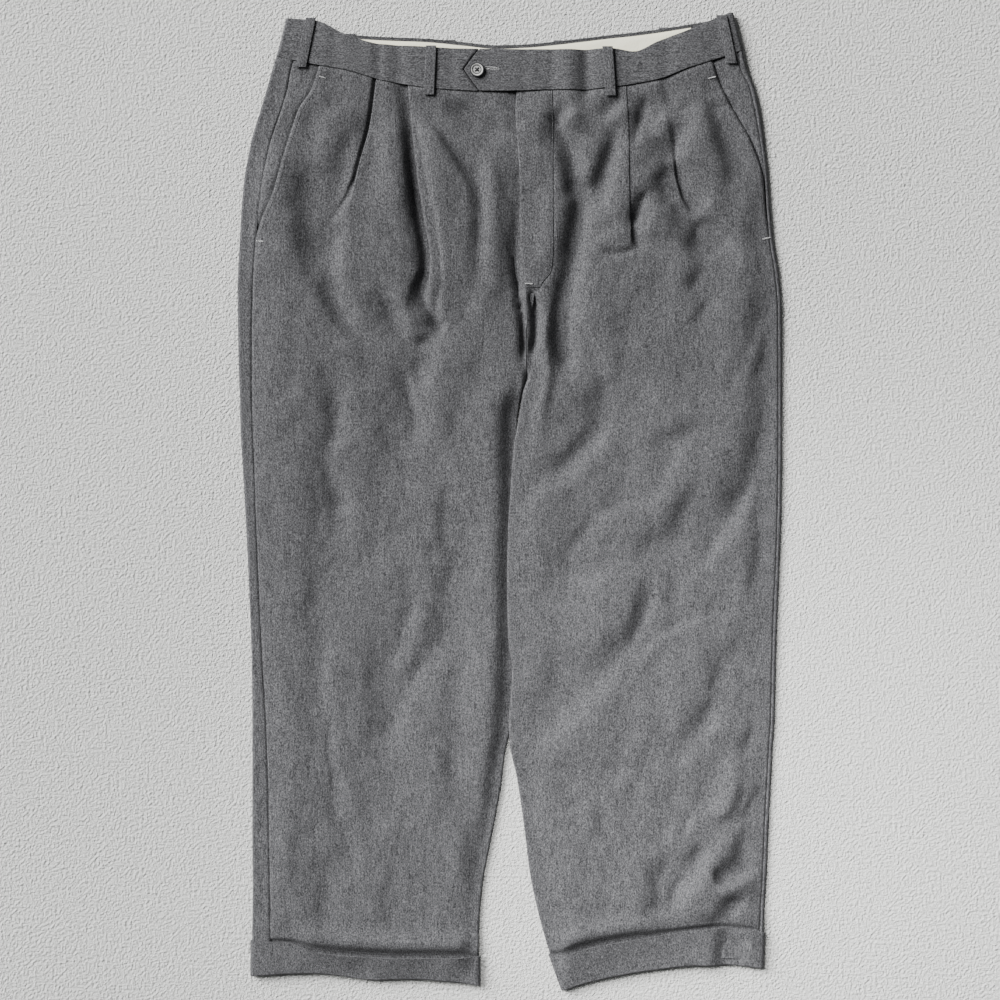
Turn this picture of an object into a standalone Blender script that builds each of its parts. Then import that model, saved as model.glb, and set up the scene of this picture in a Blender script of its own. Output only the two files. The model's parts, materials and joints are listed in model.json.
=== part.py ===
"""Pleated dress trousers with turn-up cuffs, laid flat on their back.

The waist points to +Y, the front faces +Z and the wearer's right leg is at -X. The origin is at
the middle of the outline, on the surface that the trousers lie on. Tables are in millimetres:
`down` is the distance from the topmost point towards the hem, and `out` is the distance from the
middle line towards the side of the leg that the table is for.
"""

from __future__ import annotations

import math

import bmesh
import bpy
import numpy as np
from mathutils import Matrix

MM = 0.001

# Driving dimensions, in millimetres.
LENGTH = 1057.0
CLOTH = 1.0
WAISTBAND_CLOTH = 2.4
SEAM_GAP = 0.3
WAISTBAND_DEPTH = 43.0
HEM_RETURN = 6.5
FLY_END = 298.0
FLY_LAP = 10.0
FLY_SINK = 3.0
SLANT_END = 246.0
FACING_LAP = 14.0
LINING_INSET = 4.0
LINING_ENDS = (-186.0, 196.0)
LOOP_SIZE = (11.0, 53.0)
LOOP_OVER_TOP = 1.5
BUTTON_SIZE = (16.0, 2.6)
BUTTON_HOLE = 0.9
BUTTON_HOLE_PLACE = 2.4
BUTTON_PLACE = (-35.0, 63.0)
TAB_POINT = 17.0
BAND_CREASE = (85.0, 14.0, 1.2)

# Heights of mid surfaces over the resting plane, in millimetres.
BACK_HEIGHT = CLOTH / 2
WAISTBAND_BACK_HEIGHT = CLOTH + SEAM_GAP + WAISTBAND_CLOTH / 2
WAISTBAND_FRONT_HEIGHT = 7.6
BACK_SEAM_HEIGHT = 2.2
CUFF_STEP = 1.8
LAP_LIFT = 5.0
INNER_EDGE_RADIUS = 1.7
LEAST_CLEAR = 2.0
FOLD_STRENGTH = 1.35
CUFF_SAG = 2.4
SAG_ENDS = ((38.0, 80.0), (232.0, 200.0))
HINGE_RUN = 2.0
POCKET_LIFT = 0.5
FACING_SINK = 1.1
BAND_LAP_STEP = 1.4
SIDE_SLOPE = 0.25
HEIGHT_BLEND = 1.0

RIGHT, LEFT = -1, 1
BAND_END = {RIGHT: 6.0, LEFT: -32.0}

# Outline of each leg: side edge, side seam, pocket edge of the front, and inner edge or fly line.
LEG_COLUMNS = ("down", "out_edge", "seam", "front_edge", "inner")
LEG_ROWS = {
    RIGHT: (
        (40, 249.5, 230, 200, -8),
        (64, 257, 236, 207, -7.5),
        (85, 263, 240, 214, -8),
        (105, 269, 246, 227, -6.5),
        (143, 280, 258.5, 240, -9),
        (192, 288, 267.5, 253.5, -11),
        (246, 291.5, 273.5, 273.5, -12),
        (300, 294, 277, 277, -16),
        (343, 293.5, 278, 278, -18),
        (390, 292.5, 278, 278, -18.4),
        (413, 291.5, 278, 278, -13.2),
        (442, 291, 277, 277, -9),
        (513, 287, 274.5, 274.5, -8),
        (611, 282, 271, 271, -6),
        (710, 278.5, 266, 266, -5.5),
        (771, 278, 262.5, 262.5, -1.5),
        (802, 278, 261.5, 261.5, 5),
        (835, 278, 260.5, 260.5, 9),
        (889, 278, 259.5, 259.5, 19),
        (943, 277.5, 258.5, 258.5, 29),
        (985, 278, 258, 258, 32.5),
        (1057, 278.5, 258, 258, 33.5),
    ),
    LEFT: (
        (36, 250.5, 246, 214, 8),
        (58, 255.5, 248.5, 220, 7.5),
        (80, 264, 259, 228, 8),
        (105, 270, 265, 241, 6.5),
        (143, 275.5, 271.5, 262, 9),
        (179, 279.5, 275.8, 273.5, 11),
        (215, 282, 278, 276.5, 11.3),
        (246, 285, 281, 281, 12),
        (284, 291, 287, 287, 16),
        (322, 294, 290, 290, 18),
        (390, 294.3, 290.3, 290.3, 19),
        (413, 294.3, 290.3, 290.3, 14),
        (442, 294.3, 290.3, 290.3, 9),
        (473, 294.3, 290.3, 290.3, 4),
        (513, 294, 290, 290, 1),
        (561, 293, 289, 289, -2),
        (611, 291, 287, 287, -3),
        (671, 288.5, 284.5, 284.5, -2),
        (710, 287.5, 283.5, 283.5, 2.5),
        (771, 286, 282, 282, -1),
        (789, 284.5, 280.5, 280.5, 0),
        (828, 282.5, 278.5, 278.5, 8),
        (883, 279.5, 275.5, 275.5, 16),
        (931, 277.5, 273.5, 273.5, 22),
        (973, 275, 271, 271, 31),
        (1012, 273.5, 269.5, 269.5, 42),
        (1035, 273, 269, 269, 50),
        (1057, 273, 269, 269, 58),
    ),
}

# The waist, from side to side: top edges of the back and the front, and the seam under the band.
WAIST_COLUMNS = ("x", "back_top", "top", "seam")
WAIST_ROWS = (
    (-250, 6, 6, 48),
    (-208, 14, 10, 57),
    (-178, 23, 24, 62),
    (-140, 26, 35, 73),
    (-90, 28, 38, 81.5),
    (-50, 31, 40, 84.5),
    (0, 36.5, 40.5, 85.5),
    (40, 31, 40.5, 84),
    (75, 27.5, 41, 84.3),
    (110, 24, 39.5, 81.3),
    (134, 21.5, 43, 78),
    (160, 18, 32, 73),
    (192, 13, 20, 61),
    (220, 8, 8, 52),
    (244, 0, 0, 44),
    (256, 0, 0, 39),
)

# Turn-ups: top and bottom edge across each leg.
CUFF_COLUMNS = ("out", "cuff_top", "hem")
CUFF_ROWS = {
    RIGHT: (
        (30, 1019, 1051),
        (62, 1020, 1046),
        (112, 1020, 1043),
        (147, 1019, 1044),
        (190, 1016, 1038.5),
        (208, 1014, 1037),
        (238, 1004, 1037.5),
        (281, 1002, 1040.5),
    ),
    LEFT: (
        (40, 1017, 1058.5),
        (58, 1017, 1055.5),
        (74, 1012.5, 1050),
        (105, 1005, 1042),
        (143, 999, 1035),
        (194, 991, 1029),
        (234, 988, 1028),
        (275, 993, 1032),
    ),
}

# How the laid cloth stands along the leg: edge bend radius and height of the crown.
LOFT_COLUMNS = ("down", "radius", "crown")
LOFT_ROWS = (
    (40, 2.6, 7.6),
    (90, 2.4, 6.6),
    (150, 1.9, 5.4),
    (250, 1.8, 5.3),
    (350, 1.8, 5.2),
    (450, 1.7, 5.0),
    (980, 1.7, 4.6),
    (1004, 1.6, 5.6),
    (1057, 1.6, 5.6),
)

# Pleats: where the fold shows, its hidden run, how far it is turned and the length of each bend.
PLEAT_COLUMNS = ("down", "out", "run", "turn", "bend")
PLEATS = {
    RIGHT: (
        (
            (60, 141, 10, 180, 3.0),
            (120, 149, 6, 180, 3.0),
            (165, 161, 2, 180, 3.0),
            (200, 169, 2, 80, 3.8),
            (228, 173, 3, 0, 6),
            (420, 182, 8, 0, 10),
            (1057, 190, 8, 0, 10),
        ),
        (
            (60, 113, 17, 180, 3.0),
            (136, 106, 13, 180, 3.0),
            (211, 98, 8, 180, 3.1),
            (265, 88, 3, 180, 3.2),
            (298, 87, 2, 60, 4.6),
            (330, 83, 3, 0, 6),
            (450, 85, 8, 0, 10),
            (1057, 126, 8, 0, 10),
        ),
    ),
    LEFT: (
        (
            (60, 155, 10, 180, 3.0),
            (100, 159, 7, 180, 3.0),
            (143, 174, 2, 180, 3.0),
            (185, 182, 2, 60, 4.0),
            (215, 190, 3, 0, 6),
            (420, 195, 8, 0, 10),
            (1057, 192, 8, 0, 10),
        ),
        (
            (60, 124, 15, 180, 3.0),
            (143, 128, 10, 180, 3.0),
            (205, 128.5, 4, 180, 3.0),
            (235, 130, 2, 120, 3.5),
            (262, 128, 3, 0, 6),
            (450, 120, 8, 0, 10),
            (1057, 140, 8, 0, 10),
        ),
    ),
}

# Lines across each front: the J seam of the fly, which goes on as a plain guide line.
FLY_SEAM_COLUMNS = ("down", "out")
FLY_SEAM_ROWS = (
    (60, 46),
    (255, 46.5),
    (280, 44.5),
    (FLY_END, 33),
    (330, 42),
    (450, 50),
    (1057, 50),
)

# Folds of the laid cloth: leg, height (a trough is negative), half width and the points (x, down).
FOLDS = (
    ("thigh swell", LEFT, 3.2, 38, ((105, 130), (112, 250), (130, 370))),
    ("fly swell", LEFT, 2.5, 17, ((27, 112), (30, 200), (31, 285))),
    ("side swell", LEFT, 1.8, 40, ((200, 260), (205, 400), (190, 560))),
    ("calf swell", LEFT, 1.5, 45, ((150, 700), (165, 850), (160, 960))),
    ("pleat swell", RIGHT, 3.0, 27, ((-72, 110), (-62, 240), (-58, 330))),
    ("hip swell", RIGHT, 2.0, 34, ((-212, 120), (-222, 260))),
    ("knee swell", RIGHT, 1.6, 42, ((-110, 420), (-120, 560), (-130, 760))),
    ("fly trough, upper", LEFT, -4.5, 9, ((39, 110), (55, 133), (68, 170), (68, 200))),
    ("fly trough, lower", LEFT, -5.5, 11, ((68, 175), (60, 230), (56, 289), (47, 330), (50, 384))),
    ("crest under the band", LEFT, 3.5, 8, ((43, 104), (60, 119), (80, 130), (100, 123), (122, 100))),
    ("trough to the pleat", LEFT, -3.0, 10, ((122, 118), (110, 152), (94, 182), (78, 206))),
    ("crotch ridge", LEFT, 4.5, 9, ((34, 300), (35, 350), (36, 400), (30, 473))),
    ("thigh ridge", LEFT, 3.0, 13, ((70, 305), (78, 358), (94, 388), (116, 425), (87, 458), (50, 500))),
    ("thigh hollow", LEFT, -3.0, 14, ((60, 385), (84, 413), (102, 430), (76, 460), (45, 494))),
    ("pocket ridge", LEFT, 3.5, 17, ((171, 104), (190, 140), (206, 190))),
    ("pocket hollow", LEFT, -3.5, 12, ((213, 112), (225, 149), (231, 190))),
    ("pleat hook", LEFT, -4.0, 12, ((141, 168), (168, 187), (188, 216), (212, 238), (240, 252))),
    ("side pinch", LEFT, -2.5, 10, ((190, 336), (209, 316), (222, 302))),
    ("long diagonal trough", LEFT, -3.0, 16, ((146, 475), (184, 446), (238, 397), (276, 340))),
    ("long diagonal ridge", LEFT, 2.5, 14, ((157, 490), (211, 452), (268, 400))),
    ("knee trough", LEFT, -2.5, 15, ((125, 578), (173, 559), (205, 522))),
    ("knee ridge", LEFT, 2.5, 15, ((55, 598), (87, 564), (138, 532))),
    ("shin ridge", LEFT, 3.0, 18, ((17, 813), (76, 745), (146, 684), (240, 635))),
    ("shin trough", LEFT, -3.0, 16, ((165, 780), (195, 743), (230, 703), (256, 658))),
    ("calf trough", LEFT, -2.5, 15, ((150, 978), (171, 910), (188, 865))),
    ("hem ridge", LEFT, 2.5, 13, ((182, 952), (209, 920), (234, 892))),
    ("fly side trough", RIGHT, -4.0, 11, ((-5, 222), (-9, 289), (3, 343), (8, 382))),
    ("band to fly trough", RIGHT, -2.5, 10, ((-78, 97), (-43, 116), (-3, 145))),
    ("front trough", RIGHT, -3.0, 11, ((-84, 112), (-43, 165), (-30, 219), (-36, 295))),
    ("thigh trough", RIGHT, -3.0, 14, ((-221, 285), (-202, 324), (-170, 359), (-157, 405))),
    ("thigh crest", RIGHT, 3.0, 14, ((-186, 226), (-188, 287), (-168, 334), (-138, 367))),
    ("pleat tail", RIGHT, -3.0, 13, ((-78, 344), (-105, 380), (-98, 446))),
    ("inner crest", RIGHT, 3.0, 15, ((-92, 415), (-68, 486), (-51, 530))),
    ("mid crest", RIGHT, 2.5, 14, ((-178, 384), (-170, 440), (-166, 494))),
    ("side trough", RIGHT, -2.0, 16, ((-226, 527), (-225, 624), (-222, 721))),
    ("long crest", RIGHT, 3.0, 18, ((-198, 620), (-190, 743), (-172, 851), (-153, 968))),
    ("inner trough", RIGHT, -2.5, 16, ((-99, 735), (-69, 669), (-42, 640))),
    ("inner diagonal", RIGHT, 2.5, 14, ((-122, 788), (-75, 717), (-40, 662))),
    ("calf hollow", RIGHT, -2.5, 15, ((-69, 745), (-64, 829), (-52, 879), (-50, 943))),
)

# Rows of the leg panels, closer together where the pleats and the crotch are.
STATIONS = np.array(
    (86, 108, 130, 155, 180, 205, 230, 255, 280, FLY_END, 322, 348, 372, 390, 406, 422, 440)
    + (475, 515, 560, 605, 650, 695, 740, 785, 825, 865, 905, 943, 978, 1000, 1012, 1043),
    dtype=float,
)

# Where the laid cloth changes along its length: each pair is the start and the end of a change.
CROTCH = (375.0, 430.0)
BACK_PARTS = (372.0, 398.0)
LAP_RISE = (385.0, 432.0)
LAP_FALL = (838.0, 785.0)
FLY_LAP_FALL = (345.0, 305.0)
FLY_SINK_FALL = (372.0, 330.0)
FLY_PIECE_FALL = (FLY_END + 12.0, FLY_END + 2.0)
POCKET_FALL = (SLANT_END + 10.0, SLANT_END - 40.0)
TOP_FOLLOWS_WAIST = (260.0, 86.0)
BOTTOM_FOLLOWS_HEM = (900.0, 1043.0)

# The same, measured from an edge or a seam.
BELOW_BACK_WAIST = (8.0, 32.0)
BELOW_FRONT_WAIST = (0.0, 42.0)
BEFORE_CUFF = (-30.0, -9.0)
FOLDS_AT_SIDE = (4.0, 30.0)
FOLDS_AT_INSEAM = (2.0, 30.0)
FOLDS_AT_CUFF = (-15.0, 45.0)
PLEAT_ROOM = (26.0, 3.0)
PLEAT_DIP = (18.0, 2.0)
SIDE_RUN = 26.0
INSEAM_RUN = 28.0
TOP_LAP_RUN = 50.0
UNDER_LAP_RUN = 16.0
LAP_MARGIN = 1.5

# Steps of the round edges, and the least turn that is still worked out as an arc, in radians.
HINGE_STEPS = 6
PLEAT_BEND_STEPS = 3
LEAST_TURN = 1e-3
FLY_COLUMNS = HINGE_STEPS + 3
SETTLING_STEPS = 4
SHARP_ANGLE = math.radians(50)

# Where the columns of the underside lie, from the side edge to the middle.
UNDER_SHARES = (0.0, 0.2, 0.4, 0.6, 0.8, 0.92, 1.0)

# Belt loops: middle of the upper end and of the lower end, as (x, down).
FRONT_LOOPS = (
    ((-214, 7), (-225, 60)),
    ((-84.5, 37), (-87, 90)),
    ((105.5, 38), (109, 91)),
    ((228.5, 3), (235, 55)),
)
BACK_LOOPS = (-172.0, -64.0, 53.0, 167.0)

WOOL = ("wool", (0.150, 0.151, 0.158), 0.92, 0.0)
LINING = ("lining", (0.80, 0.79, 0.69), 0.85, 0.0)
HORN = ("button", (0.085, 0.085, 0.09), 0.4, 0.0)


def smooth(start, end, value):
    """Rises from 0 at `start` to 1 at `end` with level ends."""
    share = np.clip((value - start) / (end - start), 0.0, 1.0)
    return share * share * (3.0 - 2.0 * share)


def curve(rows, columns, name, at):
    """Column `name` of a table read at `at`, along a smooth curve that doesn't overshoot its rows."""
    table = np.array(rows, dtype=float)
    xs, ys = table[:, 0], table[:, columns.index(name)]
    rise = np.diff(ys) / np.diff(xs)
    slopes = np.concatenate([rise[:1], np.zeros(len(xs) - 2), rise[-1:]])
    steady = rise[:-1] * rise[1:] > 0
    total = np.where(steady, rise[:-1] + rise[1:], 1.0)
    slopes[1:-1] = np.where(steady, 2 * rise[:-1] * rise[1:] / total, 0.0)
    at = np.clip(at, xs[0], xs[-1])
    i = np.clip(np.searchsorted(xs, at) - 1, 0, len(xs) - 2)
    step = xs[i + 1] - xs[i]
    t = (at - xs[i]) / step
    bend = (1 - t) * slopes[i] - t * slopes[i + 1] + (2 * t - 1) * rise[i]
    return ys[i] + (ys[i + 1] - ys[i]) * t + step * t * (1 - t) * bend


def leg(side, name, down):
    """A line of one leg, as its distance from the middle line."""
    return curve(LEG_ROWS[side], LEG_COLUMNS, name, down)


def waist(name, x):
    """A line across the waist, as its distance down."""
    return curve(WAIST_ROWS, WAIST_COLUMNS, name, x)


def waist_seam(x, under):
    """Seam under the waistband: of the front for `under` 0, of the back for 1."""
    back = waist("back_top", x) + WAISTBAND_DEPTH
    return waist("seam", x) * (1 - under) + back * under


def cuff(side, name, out):
    """An edge of a turn-up, as its distance down."""
    return curve(CUFF_ROWS[side], CUFF_COLUMNS, name, out)


def loft(name, down):
    """A height of the laid cloth at this distance down."""
    return curve(LOFT_ROWS, LOFT_COLUMNS, name, down)


def leg_share(down):
    """0 where the fronts lie side by side, 1 where each leg is a tube of its own."""
    return smooth(*CROTCH, down)


def fold_height(x, down, side):
    """Height that the folds of one leg add at (x, down)."""
    total = np.zeros(np.broadcast(x, down).shape)
    for _, fold_side, height, width, points in FOLDS:
        if fold_side != side:
            continue
        points = np.array(points, dtype=float)
        lengths = np.hypot(*np.diff(points, axis=0).T)
        starts = np.concatenate([[0.0], np.cumsum(lengths)])
        nearest = np.full(total.shape, np.inf)
        along = np.zeros(total.shape)
        for (x0, d0), (x1, d1), start, length in zip(points[:-1], points[1:], starts, lengths):
            share = ((x - x0) * (x1 - x0) + (down - d0) * (d1 - d0)) / length**2
            share = np.clip(share, 0.0, 1.0)
            distance = np.hypot(x - x0 - share * (x1 - x0), down - d0 - share * (d1 - d0))
            closer = distance < nearest
            nearest = np.where(closer, distance, nearest)
            along = np.where(closer, (start + share * length) / starts[-1], along)
        taper = 0.25 + 0.75 * smooth(0.0, 0.3, along) * smooth(1.0, 0.7, along)
        total += height * taper * np.exp(-((nearest / width) ** 2))
    return FOLD_STRENGTH * total


def lap_lift(side, out, down, run):
    """Lift of the left leg where its inner edge lies over the right leg's."""
    if side == RIGHT:
        return np.zeros(np.broadcast(out, down).shape)
    amount = LAP_LIFT * smooth(*LAP_RISE, down) * smooth(*LAP_FALL, down)
    lap = np.maximum(0.0, -leg(RIGHT, "inner", down) - leg(LEFT, "inner", down)) + LAP_MARGIN
    from_edge = out - leg(LEFT, "inner", down)
    return amount * (1.0 - smooth(lap, lap + run, from_edge))


def under_height(side, out, down):
    """Mid surface of the back, which rests flat but for its ends and the lapped edge."""
    x = side * out
    at_waist = 1.0 - smooth(*BELOW_BACK_WAIST, down - waist_seam(x, 1.0))
    at_cuff = smooth(*BEFORE_CUFF, down - cuff(side, "cuff_top", out))
    height = BACK_HEIGHT + (BACK_SEAM_HEIGHT - BACK_HEIGHT) * at_waist + CUFF_STEP * at_cuff
    return height + lap_lift(side, out, down, UNDER_LAP_RUN)


def hinge_drop(down):
    """How far the hinge at the inner edge reaches down below the top of the leg."""
    turn = np.maximum(leg_share(down) * math.pi, LEAST_TURN)
    bend = math.pi * INNER_EDGE_RADIUS
    return (1 - np.cos(turn)) * bend / turn + HINGE_RUN * np.sin(turn)


def waistband_height(x):
    """Mid surface of the front waistband's lower layer."""
    crease, width, depth = BAND_CREASE
    return WAISTBAND_FRONT_HEIGHT - depth * np.exp(-(((x - crease) / width) ** 2))


def pleat(side, number, name, down):
    """A size of one pleat at this distance down."""
    return curve(PLEATS[side][number], PLEAT_COLUMNS, name, down)


def turned(length, turn, share):
    """Point at `share` of an arc of this length that turns through `turn` in all."""
    turn = np.maximum(turn, LEAST_TURN)
    radius = length / turn
    return radius * np.sin(turn * share), radius * (1 - np.cos(turn * share))


def pleat_point(side, number, part, share, down):
    """(inward, up) from the visible fold, for a point on one of the three parts of a pleat."""
    run = pleat(side, number, "run", down)
    turn = np.radians(pleat(side, number, "turn", down))
    bend = pleat(side, number, "bend", down)
    bend_in, bend_up = turned(bend, turn, 1.0)
    whole = 2 * bend_in + run * np.cos(turn), 2 * bend_up + run * np.sin(turn)
    if part == "first":
        point = turned(bend, turn, share)
    elif part == "run":
        point = bend_in + run * share * np.cos(turn), bend_up + run * share * np.sin(turn)
    else:
        rest = turned(bend, turn, 1.0 - share)
        point = whole[0] - rest[0], whole[1] - rest[1]
    return point[0] - whole[0], point[1] - whole[1]


def pleat_reach(side, number, out, down):
    """How far a point lies outside a pleat, and how deep the pleat is there."""
    across, up = pleat_point(side, number, "first", 0.0, down)
    return out - pleat(side, number, "out", down) - np.maximum(-across, 0.0), -up


def pleat_stack(side, number, out, down):
    """Room that the layers of a pleat need under the top layer."""
    beyond, depth = pleat_reach(side, number, out, down)
    inner_end = pleat(side, number, "out", down) - pleat(side, number, "run", down)
    return depth * smooth(*PLEAT_ROOM, beyond) * smooth(*PLEAT_ROOM, inner_end - out)


def top_height(side, out, down):
    """Mid surface of the top layer, without what a pleat or a lap adds."""
    x = side * out
    tube = leg_share(down)
    edge_height = under_height(side, out, down) - lap_lift(side, out, down, UNDER_LAP_RUN)
    crown = loft("crown", down)
    outer_top = edge_height + 2 * loft("radius", down)
    inner_top = edge_height + np.maximum(2 * INNER_EDGE_RADIUS, hinge_drop(down))
    inner_top += (CLOTH + SEAM_GAP) * (1 - tube) * tube
    from_outer = np.maximum(leg(side, "out_edge", down) - loft("radius", down) - out, 0.0)
    hinge_width = INNER_EDGE_RADIUS + 2 * HINGE_RUN
    from_inner = np.maximum(out - leg(side, "inner", down) - hinge_width, 0.0)
    height = crown - (crown - outer_top) * np.exp(-((from_outer / SIDE_RUN) ** 2))
    height -= (crown - inner_top) * tube * np.exp(-((from_inner / INSEAM_RUN) ** 2))
    mask = smooth(*FOLDS_AT_SIDE, from_outer) * (1 - tube * (1 - smooth(*FOLDS_AT_INSEAM, from_inner)))
    mask *= smooth(*FOLDS_AT_CUFF, cuff(side, "cuff_top", out) - down)
    height = height + mask * fold_height(x, down, side)
    at_waist = smooth(*BELOW_FRONT_WAIST, down - waist("seam", x))
    height = waistband_height(x) + (height - waistband_height(x)) * at_waist
    lowest = edge_height + LEAST_CLEAR + sum(pleat_stack(side, number, out, down) for number in (0, 1))
    height = 0.5 * (height + lowest + np.hypot(height - lowest, HEIGHT_BLEND))
    height = np.where(from_outer > 0, height, outer_top)
    return height + lap_lift(side, out, down, TOP_LAP_RUN)


def pleat_dip(side, number, out, down):
    """How far the layer outside a pleat dips to pass under it."""
    beyond, depth = pleat_reach(side, number, out, down)
    return depth * smooth(*PLEAT_DIP, beyond)


def front_columns(side):
    """The columns of a front from the pocket edge to the inseam, as functions of `down`.

    Each gives the place of its points across the leg, how far they stand off the top layer, and
    the part of the front that they belong to.
    """
    gap = SEAM_GAP / 2

    def pocket_edge(down):
        return leg(side, "front_edge", down) - gap

    def facing_end(down):
        return leg(side, "front_edge", down) - FACING_LAP

    def fold(number):
        return lambda down: pleat(side, number, "out", down)

    def pleat_start(number):
        return lambda down: fold(number)(down) - pleat_point(side, number, "first", 0.0, down)[0]

    def beside(number, distance):
        return lambda down: np.maximum(pleat_start(number)(down), fold(number)(down)) + distance

    def up_to_pleat(start, number, count, dips, first):
        far, near = (beside(number, distance) for distance in PLEAT_DIP)
        straight(start, far, count, dips, first)
        straight(far, near, 2, dips, first=1)
        straight(near, pleat_start(number), 1, dips, first=1)

    def fly_piece_end(down):
        return fly_seam(side, down) + FLY_SINK

    def j_seam(down):
        return fly_seam(side, down)

    def hinge_start(down):
        return hinge(0.0, down)[0]

    def hinge(share, down):
        turn = leg_share(down) * math.pi
        bend = math.pi * INNER_EDGE_RADIUS
        length = bend + HINGE_RUN
        arc = np.minimum(share * length, bend)
        across, drop = turned(bend, turn, arc / bend)
        run = share * length - arc
        across, drop = across + run * np.cos(turn), drop + run * np.sin(turn)
        past_upright = turn > math.pi / 2
        whole_reach = turned(bend, turn, 1.0)[0] + HINGE_RUN * np.cos(turn)
        reach = np.where(past_upright, bend / np.maximum(turn, LEAST_TURN), whole_reach)
        half = CLOTH / 2 * leg_share(down) + gap
        return leg(side, "inner", down) + half + reach - across - fly_lap(side, down), -drop

    columns = []

    def straight(start, end, count, dips, first=0):
        for i in range(first, count + 1):
            def place(down, share=i / count):
                out = start(down) + (end(down) - start(down)) * share
                return out, -sum(pleat_dip(side, number, out, down) for number in dips)
            columns.append((place, 0.0))

    def pleated(number, dips):
        for part, count in (("first", PLEAT_BEND_STEPS), ("run", 1), ("last", PLEAT_BEND_STEPS)):
            for i in range(1, count + 1):
                def place(down, part=part, share=i / count):
                    across, up = pleat_point(side, number, part, share, down)
                    out = pleat(side, number, "out", down) - across
                    return out, up - sum(pleat_dip(side, other, out, down) for other in dips)
                columns.append((place, 0.0))

    straight(pocket_edge, facing_end, 1, (0, 1))
    up_to_pleat(facing_end, 0, 3, (0, 1), first=1)
    pleated(0, (1,))
    up_to_pleat(fold(0), 1, 2, (1,), first=1)
    pleated(1, ())
    straight(fold(1), fly_piece_end, 4, (), first=1)
    straight(fly_piece_end, j_seam, 1, (), first=1)
    straight(j_seam, hinge_start, 2, (), first=1)
    for i in range(1, HINGE_STEPS + 1):
        columns.append((lambda down, share=i / HINGE_STEPS: hinge(share, down), 0.0))
    return columns


def fly_seam(side, down):
    """The J seam of the fly, which goes on down the leg as a plain guide line."""
    return curve(FLY_SEAM_ROWS, FLY_SEAM_COLUMNS, "out", down) + leg(side, "inner", down) * leg_share(down)


def fly_lap(side, down):
    """How far the right front runs on under the left front at the fly."""
    return (FLY_LAP if side == RIGHT else 0.0) * smooth(*FLY_LAP_FALL, down)


def panel_down(side, out, under, station):
    """Where a row of a panel lies at `out`: it follows the waist seam above and the hem below."""
    top = waist_seam(side * out, under) + SEAM_GAP - STATIONS[0]
    bottom = cuff(side, "hem", out) - HEM_RETURN - STATIONS[-1]
    return station + top * smooth(*TOP_FOLLOWS_WAIST, station) + bottom * smooth(*BOTTOM_FOLLOWS_HEM, station)


def grid(side, columns, stations, height):
    """Points of a panel, rows by columns, in millimetres as (x, down, z)."""
    rows = []
    for place, under in columns:
        down = stations.copy()
        for _ in range(SETTLING_STEPS):
            down = panel_down(side, place(down)[0], under, stations)
        out, offset = place(down)
        rows.append(np.stack([side * out, down, height(side, out, down) + offset], axis=-1))
    return np.stack(rows, axis=1)


def front_height(side, out, down):
    """Top layer, raised a little at the pocket edge and parted where the fronts lap at the fly."""
    from_pocket = leg(side, "front_edge", down) - out
    height = top_height(side, out, down)
    height += POCKET_LIFT * smooth(*POCKET_FALL, down) * smooth(30.0, 2.0, from_pocket)
    under_fly = smooth(*FLY_PIECE_FALL, down) * (CLOTH + SEAM_GAP)
    if side == LEFT:
        seam = fly_seam(side, down)
        return height - under_fly * smooth(seam + FLY_SINK, seam, out)
    from_fly = out - leg(side, "inner", down)
    lap = smooth(*FLY_SINK_FALL, down) * (CLOTH + 2 * SEAM_GAP)
    return height - lap * smooth(12.0, 1.5, from_fly) - under_fly * smooth(26.0, 12.0, from_fly)


def facing_height(side, out, down):
    """The pocket facing, which starts level at the side seam and passes under the front."""
    seam, front_edge = leg(side, "seam", down), leg(side, "front_edge", down)
    level = smooth(front_edge + 0.5, seam + 1.0, out) * smooth(2.0, 8.0, seam - front_edge)
    return top_height(side, out, down) - FACING_SINK * (1 - level)


def back_columns(side):
    """The columns of a back, from the side seam on top, round the edge and under to the middle."""
    gap = SEAM_GAP / 2
    half = CLOTH / 2

    def edge(down):
        return leg(side, "out_edge", down) - half - loft("radius", down)

    def inner(down):
        hinge_width = half + INNER_EDGE_RADIUS + HINGE_RUN + SEAM_GAP
        return leg(side, "inner", down) + gap + (hinge_width + gap) * smooth(*BACK_PARTS, down)

    def top(share, down):
        start = leg(side, "seam", down) + gap
        out = start + (np.maximum(edge(down), start + SEAM_GAP) - start) * share
        return out, top_height(side, out, down)

    def arc(angle, down):
        start, high = top(1.0, down)
        low = under_height(side, edge(down), down)
        end = start if angle > 0 else edge(down)
        reach = leg(side, "out_edge", down) - half - end
        return end + math.cos(angle) * reach, (high + low + math.sin(angle) * (high - low)) / 2

    def bottom(share, down):
        out = edge(down) + (inner(down) - edge(down)) * share
        return out, under_height(side, out, down)

    columns = [(lambda down, share=share: top(share, down), 0.0) for share in (0.0, 1.0)]
    for angle in np.radians((45, 0, -45, -90)):
        columns.append((lambda down, angle=angle: arc(angle, down), (1 - math.sin(angle)) / 2))
    for share in UNDER_SHARES[1:]:
        columns.append((lambda down, share=share: bottom(share, down), 1.0))
    return columns


def no_height(_side, _out, _down):
    """For a panel whose columns hold its whole height."""
    return 0.0


def facing_columns(side):
    """The columns of a pocket facing, from the side seam to its hidden edge under the front."""
    gap = SEAM_GAP / 2

    def place(share):
        def at(down):
            start = leg(side, "seam", down) - gap
            end = leg(side, "front_edge", down) - FACING_LAP
            return start + (end - start) * share, 0.0
        return at

    return [(place(share), 0.0) for share in (0.0, 0.35, 0.7, 1.0)]


def normals_of(points):
    """Unit normals of a grid of points (x, y, z)."""
    across = np.gradient(points, axis=1)
    along = np.gradient(points, axis=0)
    normal = np.cross(across, along)
    return normal / np.maximum(np.linalg.norm(normal, axis=-1, keepdims=True), 1e-9)


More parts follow.
